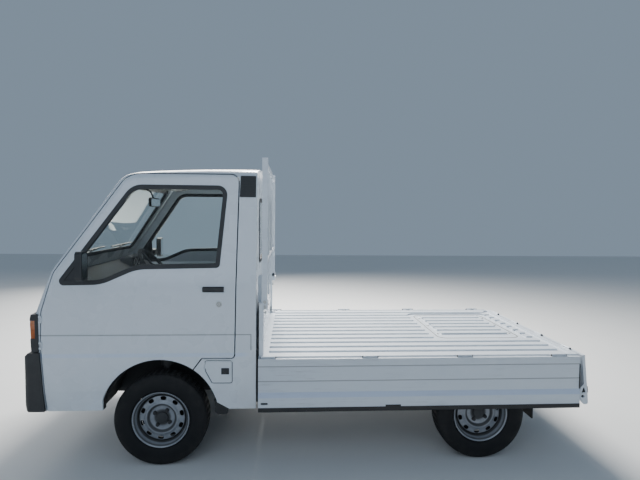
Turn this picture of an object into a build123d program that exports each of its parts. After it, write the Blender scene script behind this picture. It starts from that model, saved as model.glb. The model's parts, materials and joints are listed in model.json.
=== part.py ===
from build123d import *
import math
import os
os.makedirs("parts", exist_ok=True)

# Kei truck with a rear engine, its two side gates and its tailgate hanging open.
# Millimetres. +X is forward, +Y is the truck's left, +Z is up, and the origin is on the ground
# below the middle of the truck. Every size below can be changed by itself.

# Overall and running gear
NOSE_TIP = 1647.5
FRONT_AXLE = 885
WHEELBASE = 1885
TRACK_FRONT = 1210
TRACK_REAR = 1200
TYRE_RADIUS = 268
TYRE_WIDTH = 145
RIM_RADIUS = 152
RIM_LIP = 166
KINGPIN_INSET = 100

# Cab
CAB_BACK = 340
CAB_FLOOR = 335
CAB_HALF = 690
CAB_TUCK = 10
TUCK_TOP = 450
BELT = 1060
LEAN = 0.1398
CAB_TOP = 1752
ROOF_CROWN = 3600
ROOF_SWEEP = 9000
ROOF_HIGH_X = 450
PLAN_RADIUS = 7000
BUMPER_PROUD = 32.5
NOSE_HIGH = NOSE_TIP - BUMPER_PROUD
NOSE_HIGH_Z = 870
NOSE_TUCK = 25
NOSE_LOW = NOSE_HIGH - NOSE_TUCK
COWL_SET_BACK = 97
COWL = NOSE_HIGH - COWL_SET_BACK
COWL_Z = 1130
SCREEN_RAKE = 0.698
HEADER_RADIUS = 130
CORNER_RADIUS = 60
SKIN = 38
DOOR_WALL = 60
FRAME_WALL = 35
BACK_WALL = 38
FLOOR_Z = 428
FLOOR_WALL = 14
SEAT_DECK_Z = 654
ROOF_SKIRT = 54
ROOF_SPLIT = CAB_TOP - ROOF_SKIRT
SHUT_GAP = 7

# Doors and windows, with heights below the roof's crown and lengths back from the nose
DOOR_SET_BACK = 84
DOOR_FRONT = NOSE_HIGH - DOOR_SET_BACK
PILLAR_WIDTH = 58
PILLAR_X = COWL - PILLAR_WIDTH
PILLAR_Z = 1125
DOOR_HEAD = 69
DOOR_TOP = CAB_TOP - DOOR_HEAD
DOOR_REAR = 446
DOOR_REAR_SLOPE = 18
DOOR_LOW = 635
DOOR_LOW_FRONT = 649
WINDOW_HEAD = 132
WINDOW_TOP = CAB_TOP - WINDOW_HEAD
WINDOW_FRAME = 66
WINDOW_REAR = 505
RUBBER = 25
SCREEN_HEAD = 112
SCREEN_TOP = CAB_TOP - SCREEN_HEAD
SCREEN_FOOT = 1172

# Wheel arch in the cab side, and the liner inside it
ARCH_RADIUS = 335
ARCH_Z = 292
LINER_GAP = 4
LINER_WALL = 5
SILL_RISE = 48

# Crease pressed along the doors and the rear quarters
CREASE_Z = 767
CREASE_WIDTH = 4
CREASE_DEPTH = 1.6
CREASE_REAR = 370
CREASE_LOW = 680

# Load bed
BED_FRONT = 326
BED_REAR = -1590
BED_HALF = 666
BED_TOP = 634
BED_PLATE = 12
RIB_PITCH = 104
RIB_WIDTH = 62
RIB_HEIGHT = 11
RIB_REAR = -1525
RIB_FRONT = 270
HATCH = (-1440, -875, -500, 235)
HATCH_CORNER = 60
HATCH_GAP = 4
GATE_LENGTH = 289
GATE_WALL = 24
GATE_SHEET = 18
GATE_LINES = (43, 128)
GATE_STEP = (192, 224)
STRIP_DEPTH = 18
STRIP_WALL = 1.5
GATE_FRONT = 325
GATE_REAR = -1575
GATE_AXIS_Y = 698
GATE_AXIS_Z = 637
GATE_START = 5
HINGE_X = (270, -320, -880, -1450)
HINGE_RADIUS = 8
TAIL_AXIS_X = -1599
TAIL_WALL = 18
TAIL_HALF = 690
TAIL_TILT = 6
POST_Y = 630
POST = 32
GUARD_RISE = 28
GUARD_TOP = CAB_TOP + GUARD_RISE

# Chassis rails
RAIL_Y = 330
RAIL_WIDTH = 60
RAIL_DEPTH = 88
RAIL_LOW = 330
RAIL_HIGH = 440

REAR_AXLE = FRONT_AXLE - WHEELBASE
PARTS = "parts"


def outline(corners):
    """Face inside straight runs joined by tangent arcs, from corners (a, b, radius)."""
    ends = []
    for number, (a, b, radius) in enumerate(corners):
        here = Vector(a, b)
        back = (Vector(*corners[number - 1][:2]) - here).normalized()
        ahead = (Vector(*corners[(number + 1) % len(corners)][:2]) - here).normalized()
        if radius == 0:
            ends.append((here, None, here))
            continue
        half = math.radians(back.get_angle(ahead)) / 2
        reach = radius / math.tan(half)
        middle = here + (back + ahead).normalized() * (radius / math.sin(half) - radius)
        ends.append((here + back * reach, middle, here + ahead * reach))
    edges = []
    for number, (first, middle, last) in enumerate(ends):
        if middle is not None:
            edges.append(Edge.make_three_point_arc(first, middle, last))
        following = ends[(number + 1) % len(ends)][0]
        if (following - last).length > 0.001:
            edges.append(Edge.make_line(last, following))
    return Face(Wire(edges))


def prism_x(corners, low, high):
    """Solid of a (y, z) outline between two x values."""
    return extrude(Plane.YZ.offset(low) * outline(corners), amount=high - low, dir=(1, 0, 0))


def prism_y(corners, low, high):
    """Solid of an (x, z) outline between two y values."""
    return extrude(Plane.XZ.offset(-low) * outline(corners), amount=high - low, dir=(0, 1, 0))


def prism_z(corners, low, high):
    """Solid of an (x, y) outline between two z values."""
    return extrude(Plane.XY.offset(low) * outline(corners), amount=high - low, dir=(0, 0, 1))


def block(x_low, x_high, y_low, y_high, z_low, z_high):
    """Box between two corners."""
    centre = ((x_low + x_high) / 2, (y_low + y_high) / 2, (z_low + z_high) / 2)
    return Pos(*centre) * Box(x_high - x_low, y_high - y_low, z_high - z_low)


def rod(start, end, radius):
    """Round bar from one point to another."""
    first, last = Vector(*start), Vector(*end)
    way = last - first
    return extrude(Plane(first, z_dir=way) * Circle(radius), amount=way.length)


def mirrored(shape):
    """The same piece on the truck's other side."""
    return mirror(shape, Plane.XZ)


def both_sides(*shapes):
    """A piece and its twin on the other side."""
    pieces = []
    for shape in shapes:
        pieces += [shape, mirrored(shape)]
    return pieces


def save(node, *shapes):
    """One STEP file for one node."""
    solids = []
    for shape in shapes:
        solids += shape.solids()
    export_step(Compound(children=solids), os.path.join(PARTS, node + ".step"))


def wall_corners(inset, low, high):
    """Front view of the cab's sides, with their tuck below and their lean above the belt."""
    side = [
        (CAB_HALF - CAB_TUCK - inset, low, 0),
        (CAB_HALF - inset, TUCK_TOP, 0),
        (CAB_HALF - inset, BELT, 600),
        (CAB_HALF - inset - LEAN * (high - BELT), high, 0),
    ]
    return [(-y, z, r) for y, z, r in side] + [(y, z, r) for y, z, r in reversed(side)]


def raw_cab(inset, walls):
    """Cab form before its edges are rounded, with crowned nose, windscreen and roof."""
    low = CAB_FLOOR + inset
    above = CAB_TOP + 60
    profile = [
        (CAB_BACK - 240, low, 0),
        (NOSE_LOW - inset, low, 0),
        (NOSE_HIGH - inset, NOSE_HIGH_Z, 260),
        (COWL - inset, COWL_Z, 200),
        (COWL - inset - SCREEN_RAKE * (above - COWL_Z), above, 0),
        (CAB_BACK - 240, above, 0),
    ]
    plan_axis = Axis((NOSE_HIGH - PLAN_RADIUS, 0, 0), (0, 0, 1))
    swept = revolve(Plane.XZ * outline(profile), plan_axis, 16).rotate(plan_axis, -8)
    sides = prism_x(walls, CAB_BACK + inset, NOSE_TIP + 200)
    top = CAB_TOP - inset
    crown = ROOF_CROWN - inset
    span = CAB_HALF + 200
    drop = top - span * span / 2 / crown
    arc = Edge.make_three_point_arc((0, -span, drop), (0, 0, top), (0, span, drop))
    rim = Wire([
        arc,
        Edge.make_line((0, span, drop), (0, span, 0)),
        Edge.make_line((0, span, 0), (0, -span, 0)),
        Edge.make_line((0, -span, 0), (0, -span, drop)),
    ])
    roof_axis = Axis((ROOF_HIGH_X, 0, top - ROOF_SWEEP), (0, 1, 0))
    roof = revolve(Pos(ROOF_HIGH_X, 0, 0) * Face(rim), roof_axis, 20).rotate(roof_axis, -10)
    return swept & sides & roof


def wall_slab(outer, inner):
    """Left cab side between two depths below its outer surface."""
    high = CAB_TOP + 100
    low = CAB_FLOOR
    left = block(CAB_BACK, NOSE_TIP, 0, CAB_HALF + 50, low, high)
    slab = prism_x(wall_corners(outer, low, high), CAB_BACK, NOSE_TIP)
    return (slab - prism_x(wall_corners(inner, low, high), CAB_BACK, NOSE_TIP)) & left


def grown(face_corners, amount):
    """Outline face moved outwards, or inwards for a negative amount."""
    return offset(outline(face_corners), amount=amount)


def prism_y_face(face, low, high):
    """Solid of an (x, z) face between two y values."""
    return extrude(Plane.XZ.offset(-low) * face, amount=high - low, dir=(0, 1, 0))


def prism_x_face(face, low, high):
    """Solid of a (y, z) face between two x values."""
    return extrude(Plane.YZ.offset(low) * face, amount=high - low, dir=(1, 0, 0))


# Cab shell: crowned outside, with the cabin hollow
cab_out = raw_cab(0, wall_corners(0, CAB_FLOOR, CAB_TOP + 100))
header = [e for e in cab_out.edges() if abs((e @ 0.5).Y) < 1 and (e @ 0.5).Z > 1500 and (e @ 0.5).X > 900]
cab_out = fillet(header, HEADER_RADIUS)


def sharp_edges(body, least_angle):
    """Edges where two outside faces meet at an angle, apart from the cab's bottom and back."""
    found = []
    faces = body.faces()
    for edge in body.edges():
        point = edge @ 0.5
        if point.Z < CAB_FLOOR + 2 or point.X < CAB_BACK + 2:
            continue
        pair = [f for f in faces if any(edge.is_same(other) for other in f.edges())]
        if len(pair) == 2:
            turn = pair[0].normal_at(point).get_angle(pair[1].normal_at(point))
            if turn > least_angle:
                found.append(edge)
    return found


cab_out = fillet(sharp_edges(cab_out, 20), CORNER_RADIUS)

inner_side = [
    (CAB_HALF - DOOR_WALL, CAB_FLOOR - 50, 0),
    (CAB_HALF - DOOR_WALL, BELT - 30, 0),
    (CAB_HALF - FRAME_WALL - 3, BELT, 0),
    (CAB_HALF - FRAME_WALL - LEAN * (CAB_TOP + 100 - BELT), CAB_TOP + 100, 0),
]
inner_walls = [(-y, z, r) for y, z, r in inner_side] + [(y, z, r) for y, z, r in reversed(inner_side)]
cabin = raw_cab(SKIN, inner_walls)
cabin = cabin + block(CAB_BACK + BACK_WALL, NOSE_LOW - 90, -(CAB_HALF - DOOR_WALL), CAB_HALF - DOOR_WALL,
                      CAB_FLOOR - 50, CAB_FLOOR + 60)
shell = cab_out - cabin

# Door outline in side view: front shut line, windscreen pillar, roof, rear shut line, wheel arch


def pillar_line(z, behind=0):
    """x on the windscreen pillar's line at a height, some way behind it."""
    return PILLAR_X - SCREEN_RAKE * (z - PILLAR_Z) - behind


arch_foot = FRONT_AXLE + 318
door_corners = [
    (DOOR_FRONT - 26, CAB_FLOOR - 5, 0),
    (DOOR_FRONT, 680, 500),
    (DOOR_FRONT - 4, 900, 150),
    (PILLAR_X, PILLAR_Z, 60),
    (pillar_line(DOOR_TOP), DOOR_TOP, 130),
    (DOOR_REAR, DOOR_TOP, 45),
    (DOOR_REAR + DOOR_REAR_SLOPE, DOOR_LOW, 18),
    (DOOR_LOW_FRONT, DOOR_LOW, 12),
    (DOOR_LOW_FRONT + 71, DOOR_LOW - 95, 0),
    (DOOR_LOW_FRONT + 71, CAB_FLOOR - 35, 0),
    (arch_foot, CAB_FLOOR - 35, 0),
    (arch_foot, CAB_FLOOR - 5, 0),
]
arch_cut = Pos(FRONT_AXLE, 0, ARCH_Z) * Rot(90, 0, 0) * Cylinder(ARCH_RADIUS, 2 * CAB_HALF + 200)
arch_cut = arch_cut & block(FRONT_AXLE - ARCH_RADIUS, arch_foot, -CAB_HALF - 90, CAB_HALF + 90, 0, 1000)
arch_cut += block(FRONT_AXLE - ARCH_RADIUS + 24, arch_foot, -CAB_HALF - 90, CAB_HALF + 90, 0, ARCH_Z + 90)
arch_rear = FRONT_AXLE - ARCH_RADIUS + 24
sill_chamfer = prism_y([(arch_rear - 90, CAB_FLOOR - 5, 0), (arch_rear + 10, CAB_FLOOR + SILL_RISE + 6, 0),
                        (arch_rear + 10, CAB_FLOOR - 40, 0), (arch_rear - 90, CAB_FLOOR - 40, 0)],
                       -CAB_HALF - 90, CAB_HALF + 90)
door_y = 430
door_depth = DOOR_WALL + 2
door_prism = prism_y(door_corners, door_y, CAB_HALF + 60) & wall_slab(-60, door_depth)
door_hole = prism_y_face(grown(door_corners, SHUT_GAP), door_y - 20, CAB_HALF + 60)
door_hole = door_hole & wall_slab(-60, door_depth + 5)

# Window outline: the outer edge of its rubber
window_corners = [
    (PILLAR_X - 8, BELT - 10, 25),
    (pillar_line(WINDOW_TOP, WINDOW_FRAME), WINDOW_TOP, 110),
    (WINDOW_REAR, WINDOW_TOP, 55),
    (WINDOW_REAR + 42, BELT + 90, 22),
    (PILLAR_X - 450, BELT + 80, 250),
    (PILLAR_X - 260, BELT - 5, 250),
]
window_out = prism_y(window_corners, door_y, CAB_HALF + 60)
window_in = prism_y_face(grown(window_corners, -RUBBER), door_y, CAB_HALF + 60)

sill_half = CAB_HALF - 50
sill_under = block(CAB_BACK - 50, COWL - 38, -sill_half, sill_half, 0, RAIL_LOW + RAIL_DEPTH + 22)
fixed = shell - arch_cut - sill_under - sill_chamfer
door_shell = shell & door_prism
door_left = door_shell - arch_cut - window_out

# Crease: a shallow groove from the nose's shut line to the rear quarter, where it turns down
crease_turn, crease_top = CREASE_REAR - CREASE_WIDTH, CREASE_Z + CREASE_WIDTH
crease_out = outline([(NOSE_TIP, crease_top, 0), (crease_turn, crease_top, 22), (crease_turn, CREASE_LOW, 0),
                      (CREASE_REAR, CREASE_LOW, 0), (CREASE_REAR, CREASE_Z, 18), (NOSE_TIP, CREASE_Z, 0)])
crease = prism_y_face(crease_out, CAB_HALF - CREASE_DEPTH, CAB_HALF + 20)
door_left -= crease
# Recess for the handle and its key cylinder
handle_x, handle_z = 581, 1028
door_left -= block(handle_x - 60, handle_x + 60, CAB_HALF - 22, CAB_HALF + 20, handle_z - 16, handle_z + 16)
# Hinge barrels at the front shut line, level with the outer skin
DOOR_AXIS_X, DOOR_AXIS_Y = DOOR_FRONT - 2, CAB_HALF + 2
DOOR_BARREL = 3
DOOR_HINGE_Z = (712, 860)
panel_hinges = []
for hinge_z in DOOR_HINGE_Z:
    reach = DOOR_BARREL + 3.5
    door_left -= block(DOOR_AXIS_X - reach, DOOR_AXIS_X + 8, DOOR_AXIS_Y - reach, CAB_HALF + 20,
                       hinge_z - 20.4, hinge_z + 20.4)
    door_left += rod((DOOR_AXIS_X, DOOR_AXIS_Y, hinge_z - 10),
                     (DOOR_AXIS_X, DOOR_AXIS_Y, hinge_z + 10), DOOR_BARREL)
    door_left += block(DOOR_AXIS_X - reach - 1, DOOR_AXIS_X, DOOR_AXIS_Y - DOOR_BARREL, DOOR_AXIS_Y,
                       hinge_z - 10, hinge_z + 10)
    door_left += block(DOOR_AXIS_X - reach - 1, DOOR_AXIS_X - reach + 2, DOOR_AXIS_Y - reach - 1, DOOR_AXIS_Y,
                       hinge_z - 10, hinge_z + 10)
    for low, high in ((hinge_z - 20, hinge_z - 10.4), (hinge_z + 10.4, hinge_z + 20)):
        panel_hinges.append(rod((DOOR_AXIS_X, DOOR_AXIS_Y, low), (DOOR_AXIS_X, DOOR_AXIS_Y, high),
                                DOOR_BARREL))
        panel_hinges.append(block(DOOR_AXIS_X, DOOR_AXIS_X + 14, DOOR_AXIS_Y - DOOR_BARREL, DOOR_AXIS_Y,
                                  low, high))
# Bore for the key cylinder below the handle's rear end
KEY_RADIUS = 11
key_x, key_z = handle_x - 32, handle_z - 85
door_left -= rod((key_x, CAB_HALF - 8, key_z), (key_x, CAB_HALF + 20, key_z), KEY_RADIUS + 0.3)
save("door_left", door_left)
save("door_right", mirrored(door_left))

glass = wall_slab(11, 15) & window_in
save("door_glass_left", glass)
save("door_glass_right", mirrored(glass))

rubber = wall_slab(-2, 24) & (window_out - window_in)
sail_rear = PILLAR_X - 160
sail = wall_slab(2, 11) & window_in & prism_y([
    (PILLAR_X - 10, BELT - 20, 0), (sail_rear, BELT + 202, 0), (sail_rear, BELT - 20, 0)],
    door_y, CAB_HALF + 60)
rubber = rubber + sail
handle = block(handle_x - 59, handle_x + 59, CAB_HALF - 21.7, CAB_HALF - 10, handle_z - 15, handle_z + 15)
handle += block(handle_x - 62, handle_x + 62, CAB_HALF + 0.0, CAB_HALF + 12, handle_z - 12, handle_z + 18) & \
    block(handle_x - 60, handle_x + 60, CAB_HALF - 20, CAB_HALF + 12, handle_z - 10, handle_z + 12)
handle += block(handle_x - 10, handle_x + 10, CAB_HALF - 12, CAB_HALF + 2, handle_z - 10, handle_z + 12)
key_cylinder = rod((key_x, CAB_HALF - 7.7, key_z), (key_x, CAB_HALF + 2, key_z), KEY_RADIUS)
key_cylinder -= block(key_x - 1.5, key_x + 1.5, CAB_HALF - 2, CAB_HALF + 4, key_z - 5, key_z + 5)
# Mirror on the sail's rear edge
mirror_x = sail_rear - 20
mirror_y = CAB_HALF + 52
mirror_head = prism_x([
    (mirror_y, BELT + 26, 20), (mirror_y + 82, BELT + 32, 24), (mirror_y + 78, BELT + 190, 24),
    (mirror_y - 4, BELT + 184, 20)], mirror_x - 30, mirror_x + 6)
mirror_arm = prism_x([
    (CAB_HALF - 50, BELT + 40, 6), (mirror_y + 20, BELT + 60, 10), (mirror_y + 20, BELT + 100, 10),
    (CAB_HALF - 50, BELT + 90, 6)], mirror_x - 2, mirror_x + 36)
mirror_arm = mirror_arm & wall_slab(-140, 3)
door_trim = (rubber + mirror_arm + mirror_head, handle, key_cylinder)
save("door_trim_left", *door_trim)
save("door_trim_right", *[mirrored(shape) for shape in door_trim])

# Fixed panels of the cab: what is left of the shell outside the doors
fixed = fixed - door_hole - mirrored(door_hole)
screen_low, screen_high = SCREEN_FOOT, SCREEN_TOP
screen_half_low, screen_half_high = 600, 534
screen_corners = [
    (-screen_half_low, screen_low, 50),
    (-screen_half_high, screen_high, 60),
    (screen_half_high, screen_high, 60),
    (screen_half_low, screen_low, 50),
]
screen_out = prism_x(screen_corners, FRONT_AXLE, NOSE_TIP)
screen_in = prism_x_face(grown(screen_corners, -24), FRONT_AXLE, NOSE_TIP)
back_head = CAB_TOP - 192
back_window_corners = [(-430, BELT + 90, 55), (-410, back_head, 55), (410, back_head, 55),
                       (430, BELT + 90, 55)]
back_out = prism_x(back_window_corners, CAB_BACK - 10, CAB_BACK + BACK_WALL + 20)
back_in = prism_x_face(grown(back_window_corners, -22), CAB_BACK - 10, CAB_BACK + BACK_WALL + 20)
fixed = fixed - screen_out - back_out

wide = CAB_HALF + 100
header_low = SCREEN_TOP - 48
roof_zone = prism_y([
    (CAB_BACK - 50, ROOF_SPLIT, 0), (pillar_line(ROOF_SPLIT, 20), ROOF_SPLIT, 0),
    (pillar_line(header_low, 44), header_low, 0), (PILLAR_X, header_low, 0),
    (PILLAR_X, CAB_TOP + 100, 0), (CAB_BACK - 50, CAB_TOP + 100, 0)], -wide, wide)
cowl_low, cowl_high = SCREEN_FOOT - 7, SCREEN_FOOT + 43
nose_zone = prism_y([
    (COWL - 38, CAB_FLOOR - 60, 0), (COWL - 38, COWL_Z - 130, 0), (COWL - 78, COWL_Z - 20, 0),
    (COWL - 118, cowl_low, 0), (COWL - 118, cowl_high, 0),
    (NOSE_TIP, cowl_high, 0), (NOSE_TIP, CAB_FLOOR - 60, 0)], -wide, wide)
back_zone = block(CAB_BACK - 50, CAB_BACK + BACK_WALL, -sill_half, sill_half, CAB_FLOOR - 60, ROOF_SPLIT)

cab_roof = fixed & roof_zone
cab_front = fixed & nose_zone
for hinge in panel_hinges:
    cab_front += hinge
    cab_front += mirrored(hinge)
cab_back = fixed & back_zone
cab_sides = fixed - roof_zone - nose_zone - back_zone
left_half = block(CAB_BACK - 50, NOSE_TIP, 0, wide, 0, CAB_TOP + 100)
cab_side = (cab_sides & left_half) - crease
save("cab_roof", cab_roof)
save("cab_front_panel", cab_front)
save("cab_back_wall", cab_back)

# Fuel lid in the left rear quarter
lid_corners = [(627, 617, 10), (477, 615, 10), (477, 491, 10), (587, 492, 12), (622, 558, 12)]
lid_hole = prism_y_face(grown(lid_corners, 5), CAB_HALF - 22, CAB_HALF + 40)
lid_zone = prism_y(lid_corners, CAB_HALF - 30, CAB_HALF + 40)
fuel_lid = wall_slab(0, 3) & lid_zone
# Lock plate on the lid
lock_x, lock_z = 514, 558
fuel_lid += block(lock_x - 22, lock_x + 22, CAB_HALF - 1, CAB_HALF + 1.6, lock_z - 18, lock_z + 18)
fuel_lid += rod((lock_x, CAB_HALF, lock_z), (lock_x, CAB_HALF + 3, lock_z), 9)
LID_AXIS_X, LID_AXIS_Y = 629.5, CAB_HALF - 0.5
LID_BARREL = 2.2
lid_lug = rod((LID_AXIS_X, LID_AXIS_Y, 574), (LID_AXIS_X, LID_AXIS_Y, 598), LID_BARREL)
lid_lug += block(LID_AXIS_X - 9, LID_AXIS_X, LID_AXIS_Y - LID_BARREL, LID_AXIS_Y, 574, 598)
lid_side = cab_side - lid_hole
lid_side -= block(LID_AXIS_X - 8, LID_AXIS_X + LID_BARREL + 2, LID_AXIS_Y - LID_BARREL - 3, CAB_HALF + 5,
                  562, 610)
for low, high in ((562, 573.7), (598.3, 610)):
    lid_side += rod((LID_AXIS_X, LID_AXIS_Y, low), (LID_AXIS_X, LID_AXIS_Y, high), LID_BARREL)
    lid_side += block(LID_AXIS_X, LID_AXIS_X + LID_BARREL + 3, LID_AXIS_Y - LID_BARREL, LID_AXIS_Y, low, high)
save("cab_side_left", lid_side)
save("cab_side_right", mirrored(cab_side))
save("fuel_lid", fuel_lid + lid_lug)



def cab_skin(outer, inner):
    """Shell of the whole cab form between two depths."""
    high = CAB_TOP + 100
    body = raw_cab(outer, wall_corners(outer, CAB_FLOOR, high))
    return body - raw_cab(inner, wall_corners(inner, CAB_FLOOR, high))


screen_seal = cab_skin(-2, 22) & (screen_out - screen_in)
screen_glass = cab_skin(10, 15) & screen_in
back_seal = (back_out - back_in) & block(CAB_BACK - 4, CAB_BACK + 20, -wide, wide, BELT, CAB_TOP)
back_glass = back_in & block(CAB_BACK + 6, CAB_BACK + 10, -wide, wide, BELT, CAB_TOP)
save("window_seals", screen_seal, back_seal)
save("windscreen", screen_glass)
save("back_window", back_glass)

# Cab floor: footwell, riser over the front wheels, seat deck
floor_half = CAB_HALF - DOOR_WALL - 0.3
riser_low, riser_high = arch_foot + 41, arch_foot - 37
upper = [(NOSE_LOW, FLOOR_Z + FLOOR_WALL, 0), (riser_low, FLOOR_Z + FLOOR_WALL, 40),
         (riser_high, SEAT_DECK_Z, 40), (CAB_BACK + BACK_WALL, SEAT_DECK_Z, 0)]
lower = [(CAB_BACK + BACK_WALL, SEAT_DECK_Z - FLOOR_WALL, 0), (riser_high - 10, SEAT_DECK_Z - FLOOR_WALL, 26),
         (riser_low - 10, FLOOR_Z, 54), (NOSE_LOW, FLOOR_Z, 0)]
cab_floor = prism_y(upper + lower, -floor_half, floor_half) & raw_cab(SKIN + 0.3, inner_walls)
save("cab_floor", cab_floor)

# Wheel liners: an arch of sheet inside each front wheel opening, hung from the floor
liner_low, liner_high = 440, CAB_HALF - DOOR_WALL - 8
liner_out = ARCH_RADIUS - LINER_GAP
liner_length = liner_high - liner_low
liner_place = Pos(FRONT_AXLE, (liner_low + liner_high) / 2, ARCH_Z) * Rot(90, 0, 0)
liner = liner_place * (Cylinder(liner_out, liner_length) - Cylinder(liner_out - LINER_WALL, liner_length + 2))
liner &= block(FRONT_AXLE - liner_out, FRONT_AXLE + liner_out, liner_low, liner_high, ARCH_Z + 58, CAB_TOP)
kingpin_y = TRACK_FRONT / 2 - KINGPIN_INSET
liner -= rod((FRONT_AXLE, kingpin_y, ARCH_Z), (FRONT_AXLE, kingpin_y, 700), 44)
for hanger_x in (FRONT_AXLE - 90, FRONT_AXLE + 90):
    liner += block(hanger_x - 15, hanger_x + 15, liner_high - 30, liner_high,
                   ARCH_Z + math.sqrt((liner_out - 2) ** 2 - 90 ** 2) - 4, SEAT_DECK_Z - FLOOR_WALL - 0.3)
save("wheel_liners", *both_sides(liner))

# Dashboard across the cab, and the column for the wheel on the right
dash_half = CAB_HALF - DOOR_WALL - 12
dash_top, dash_low = COWL_Z - 20, COWL_Z - 270
dash = prism_y([(COWL + 20, dash_top - 20, 0), (COWL - 98, dash_top, 30), (COWL - 253, dash_top - 70, 30),
                (COWL - 228, dash_top - 150, 30), (COWL - 128, dash_low, 20), (COWL + 20, dash_low, 0)],
               -dash_half, dash_half)
dash = dash & raw_cab(SKIN + 0.3, wall_corners(80, CAB_FLOOR, CAB_TOP + 100))
column_y = -345
column_start = (COWL - 158, column_y, dash_top - 220)
column_end = (COWL - 310, column_y, dash_top - 98)
way = (Vector(*column_end) - Vector(*column_start)).normalized()
column_tube = rod(column_start, column_end, 26)
save("dashboard", dash - rod(column_start, column_end, 27))
save("steering_column", column_tube)

wheel_centre = Vector(*column_end) + way * 33.3
wheel_plane = Plane(wheel_centre, z_dir=way)
WHEEL_RADIUS = 180
WHEEL_GRIP = 13
steering_wheel = Pos(0, 0, -14) * Cylinder(42, 38)
for turn in (180, 0, 270):
    steering_wheel += Rot(0, 0, turn) * (Pos(105, 0, -4) * Box(150, 26, 10))
grip_section = Pos(WHEEL_RADIUS, 0, 0) * (Plane.XZ * RegularPolygon(WHEEL_GRIP, 8))
grip = Rot(0, 0, 45) * revolve(grip_section, Axis.Z, 360)
steering_wheel = wheel_plane.location * (steering_wheel + grip)
save("steering_wheel", steering_wheel)

# Seats: cushion and back for two
seat_parts = []
seat_low = SEAT_DECK_Z + 0.3
for seat_y in (-340, 340):
    cushion = prism_y([(1010, seat_low, 20), (1040, seat_low + 125, 45), (560, seat_low + 95, 45),
                       (552, seat_low, 20)], seat_y - 235, seat_y + 235)
    back = prism_y([(544, seat_low, 10), (549, seat_low + 105, 30), (592, seat_low + 150, 40),
                    (480, 1300, 35), (400, 1300, 30), (452, seat_low, 20)], seat_y - 215, seat_y + 215)
    seat_parts += [cushion, back]
save("seats", *seat_parts)

# Front bumper, lamp band, lamps, wipers, cab vents
BUMPER_LOW, BUMPER_HIGH = 338, 672
BUMPER_REAR = DOOR_FRONT - 40
BUMPER_HALF = CAB_HALF + 8
BUMPER_GAP = SHUT_GAP + 3
BUMPER_CROWN = 12000
BUMPER_CORNER = 32
GARNISH = (676, 888)
LAMP_Z = (712, 864)


def nose_band(depth, low, high, rear_x, cover):
    """Shell that wraps round the nose outside the cab form, between two heights."""
    grown_form = raw_cab(-depth, wall_corners(-cover, CAB_FLOOR - 60, CAB_TOP + 160))
    zone = block(rear_x, NOSE_TIP + 60, -wide, wide, low, high)
    return (grown_form & zone) - cab_out


band = nose_band(12, GARNISH[0], GARNISH[1], DOOR_FRONT + 15, 1)
head_lamps = []
corner_lamps = []
for side in (-1, 1):
    lamp_y = sorted((side * 330, side * 560))
    corner_y = sorted((side * 598, side * (CAB_HALF + 20)))
    lamp_zone = block(FRONT_AXLE, NOSE_TIP + 60, *lamp_y, *LAMP_Z)
    corner_zone = block(DOOR_FRONT + 28, NOSE_TIP + 60, *corner_y, LAMP_Z[0] + 36, LAMP_Z[1] - 6)
    head_lamps.append(band & lamp_zone)
    corner_lamps.append(band & corner_zone)
    band = band - lamp_zone - corner_zone
save("front_garnish", band)
save("headlamps", *head_lamps)
save("corner_lamps", *corner_lamps)

bumper_axis = Axis((NOSE_TIP - BUMPER_CROWN, 0, 0), (0, 0, 1))


def crowned_bar(profile):
    """Bar across the nose, of an (x, z) profile swept round the bumper's crown."""
    return revolve(Plane.XZ * outline(profile), bumper_axis, 10).rotate(bumper_axis, -5)


bumper_inner = BUMPER_REAR - 30
bumper = crowned_bar([(bumper_inner, BUMPER_LOW, 0), (NOSE_TIP, BUMPER_LOW, 0), (NOSE_TIP, BUMPER_HIGH, 0),
                      (bumper_inner, BUMPER_HIGH, 0)])
bumper = bumper & block(BUMPER_REAR, NOSE_TIP + 10, -BUMPER_HALF, BUMPER_HALF, 0, 1000)
corner_edges = [e for e in bumper.edges() if abs(abs((e @ 0.5).Y) - BUMPER_HALF) < 0.1
                and (e @ 0.5).X > BUMPER_REAR + 50 and abs((e @ 0).Z - (e @ 1).Z) > 4]
bumper = fillet(corner_edges, BUMPER_CORNER)
bumper = bumper & crowned_bar([(bumper_inner, BUMPER_LOW, 0), (NOSE_TIP - 18, BUMPER_LOW, 14),
                               (NOSE_TIP, BUMPER_LOW + 60, 60), (NOSE_TIP, BUMPER_HIGH - 26, 16),
                               (NOSE_TIP - 26, BUMPER_HIGH, 8), (bumper_inner, BUMPER_HIGH, 0)]) - cab_out
# The bumper's ends follow the doors' front shut lines
door_clear = prism_y_face(grown(door_corners, BUMPER_GAP), door_y, wide)
bumper = bumper - door_clear - mirrored(door_clear)
# Air intake below the plate, with upright bars left in it
INTAKE_HALF = 330
INTAKE_Z = (356, 404)
INTAKE_DEPTH = 22
INTAKE_BARS = 9
intake_back = NOSE_TIP - INTAKE_HALF ** 2 / 2 / BUMPER_CROWN - INTAKE_DEPTH
bumper -= block(intake_back, NOSE_TIP + 10, -INTAKE_HALF, INTAKE_HALF, *INTAKE_Z)
for number in range(1, INTAKE_BARS + 1):
    bar_y = -INTAKE_HALF + number * 2 * INTAKE_HALF / (INTAKE_BARS + 1)
    bumper += block(intake_back - 2, intake_back + INTAKE_DEPTH - 6, bar_y - 4, bar_y + 4,
                    INTAKE_Z[0] - 2, INTAKE_Z[1] + 2)
plate_z = 500
for plate_y in (-105, 105):
    bumper -= rod((NOSE_TIP - 30, plate_y, plate_z), (NOSE_TIP + 10, plate_y, plate_z), 3.5)
save("front_bumper", bumper)


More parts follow.
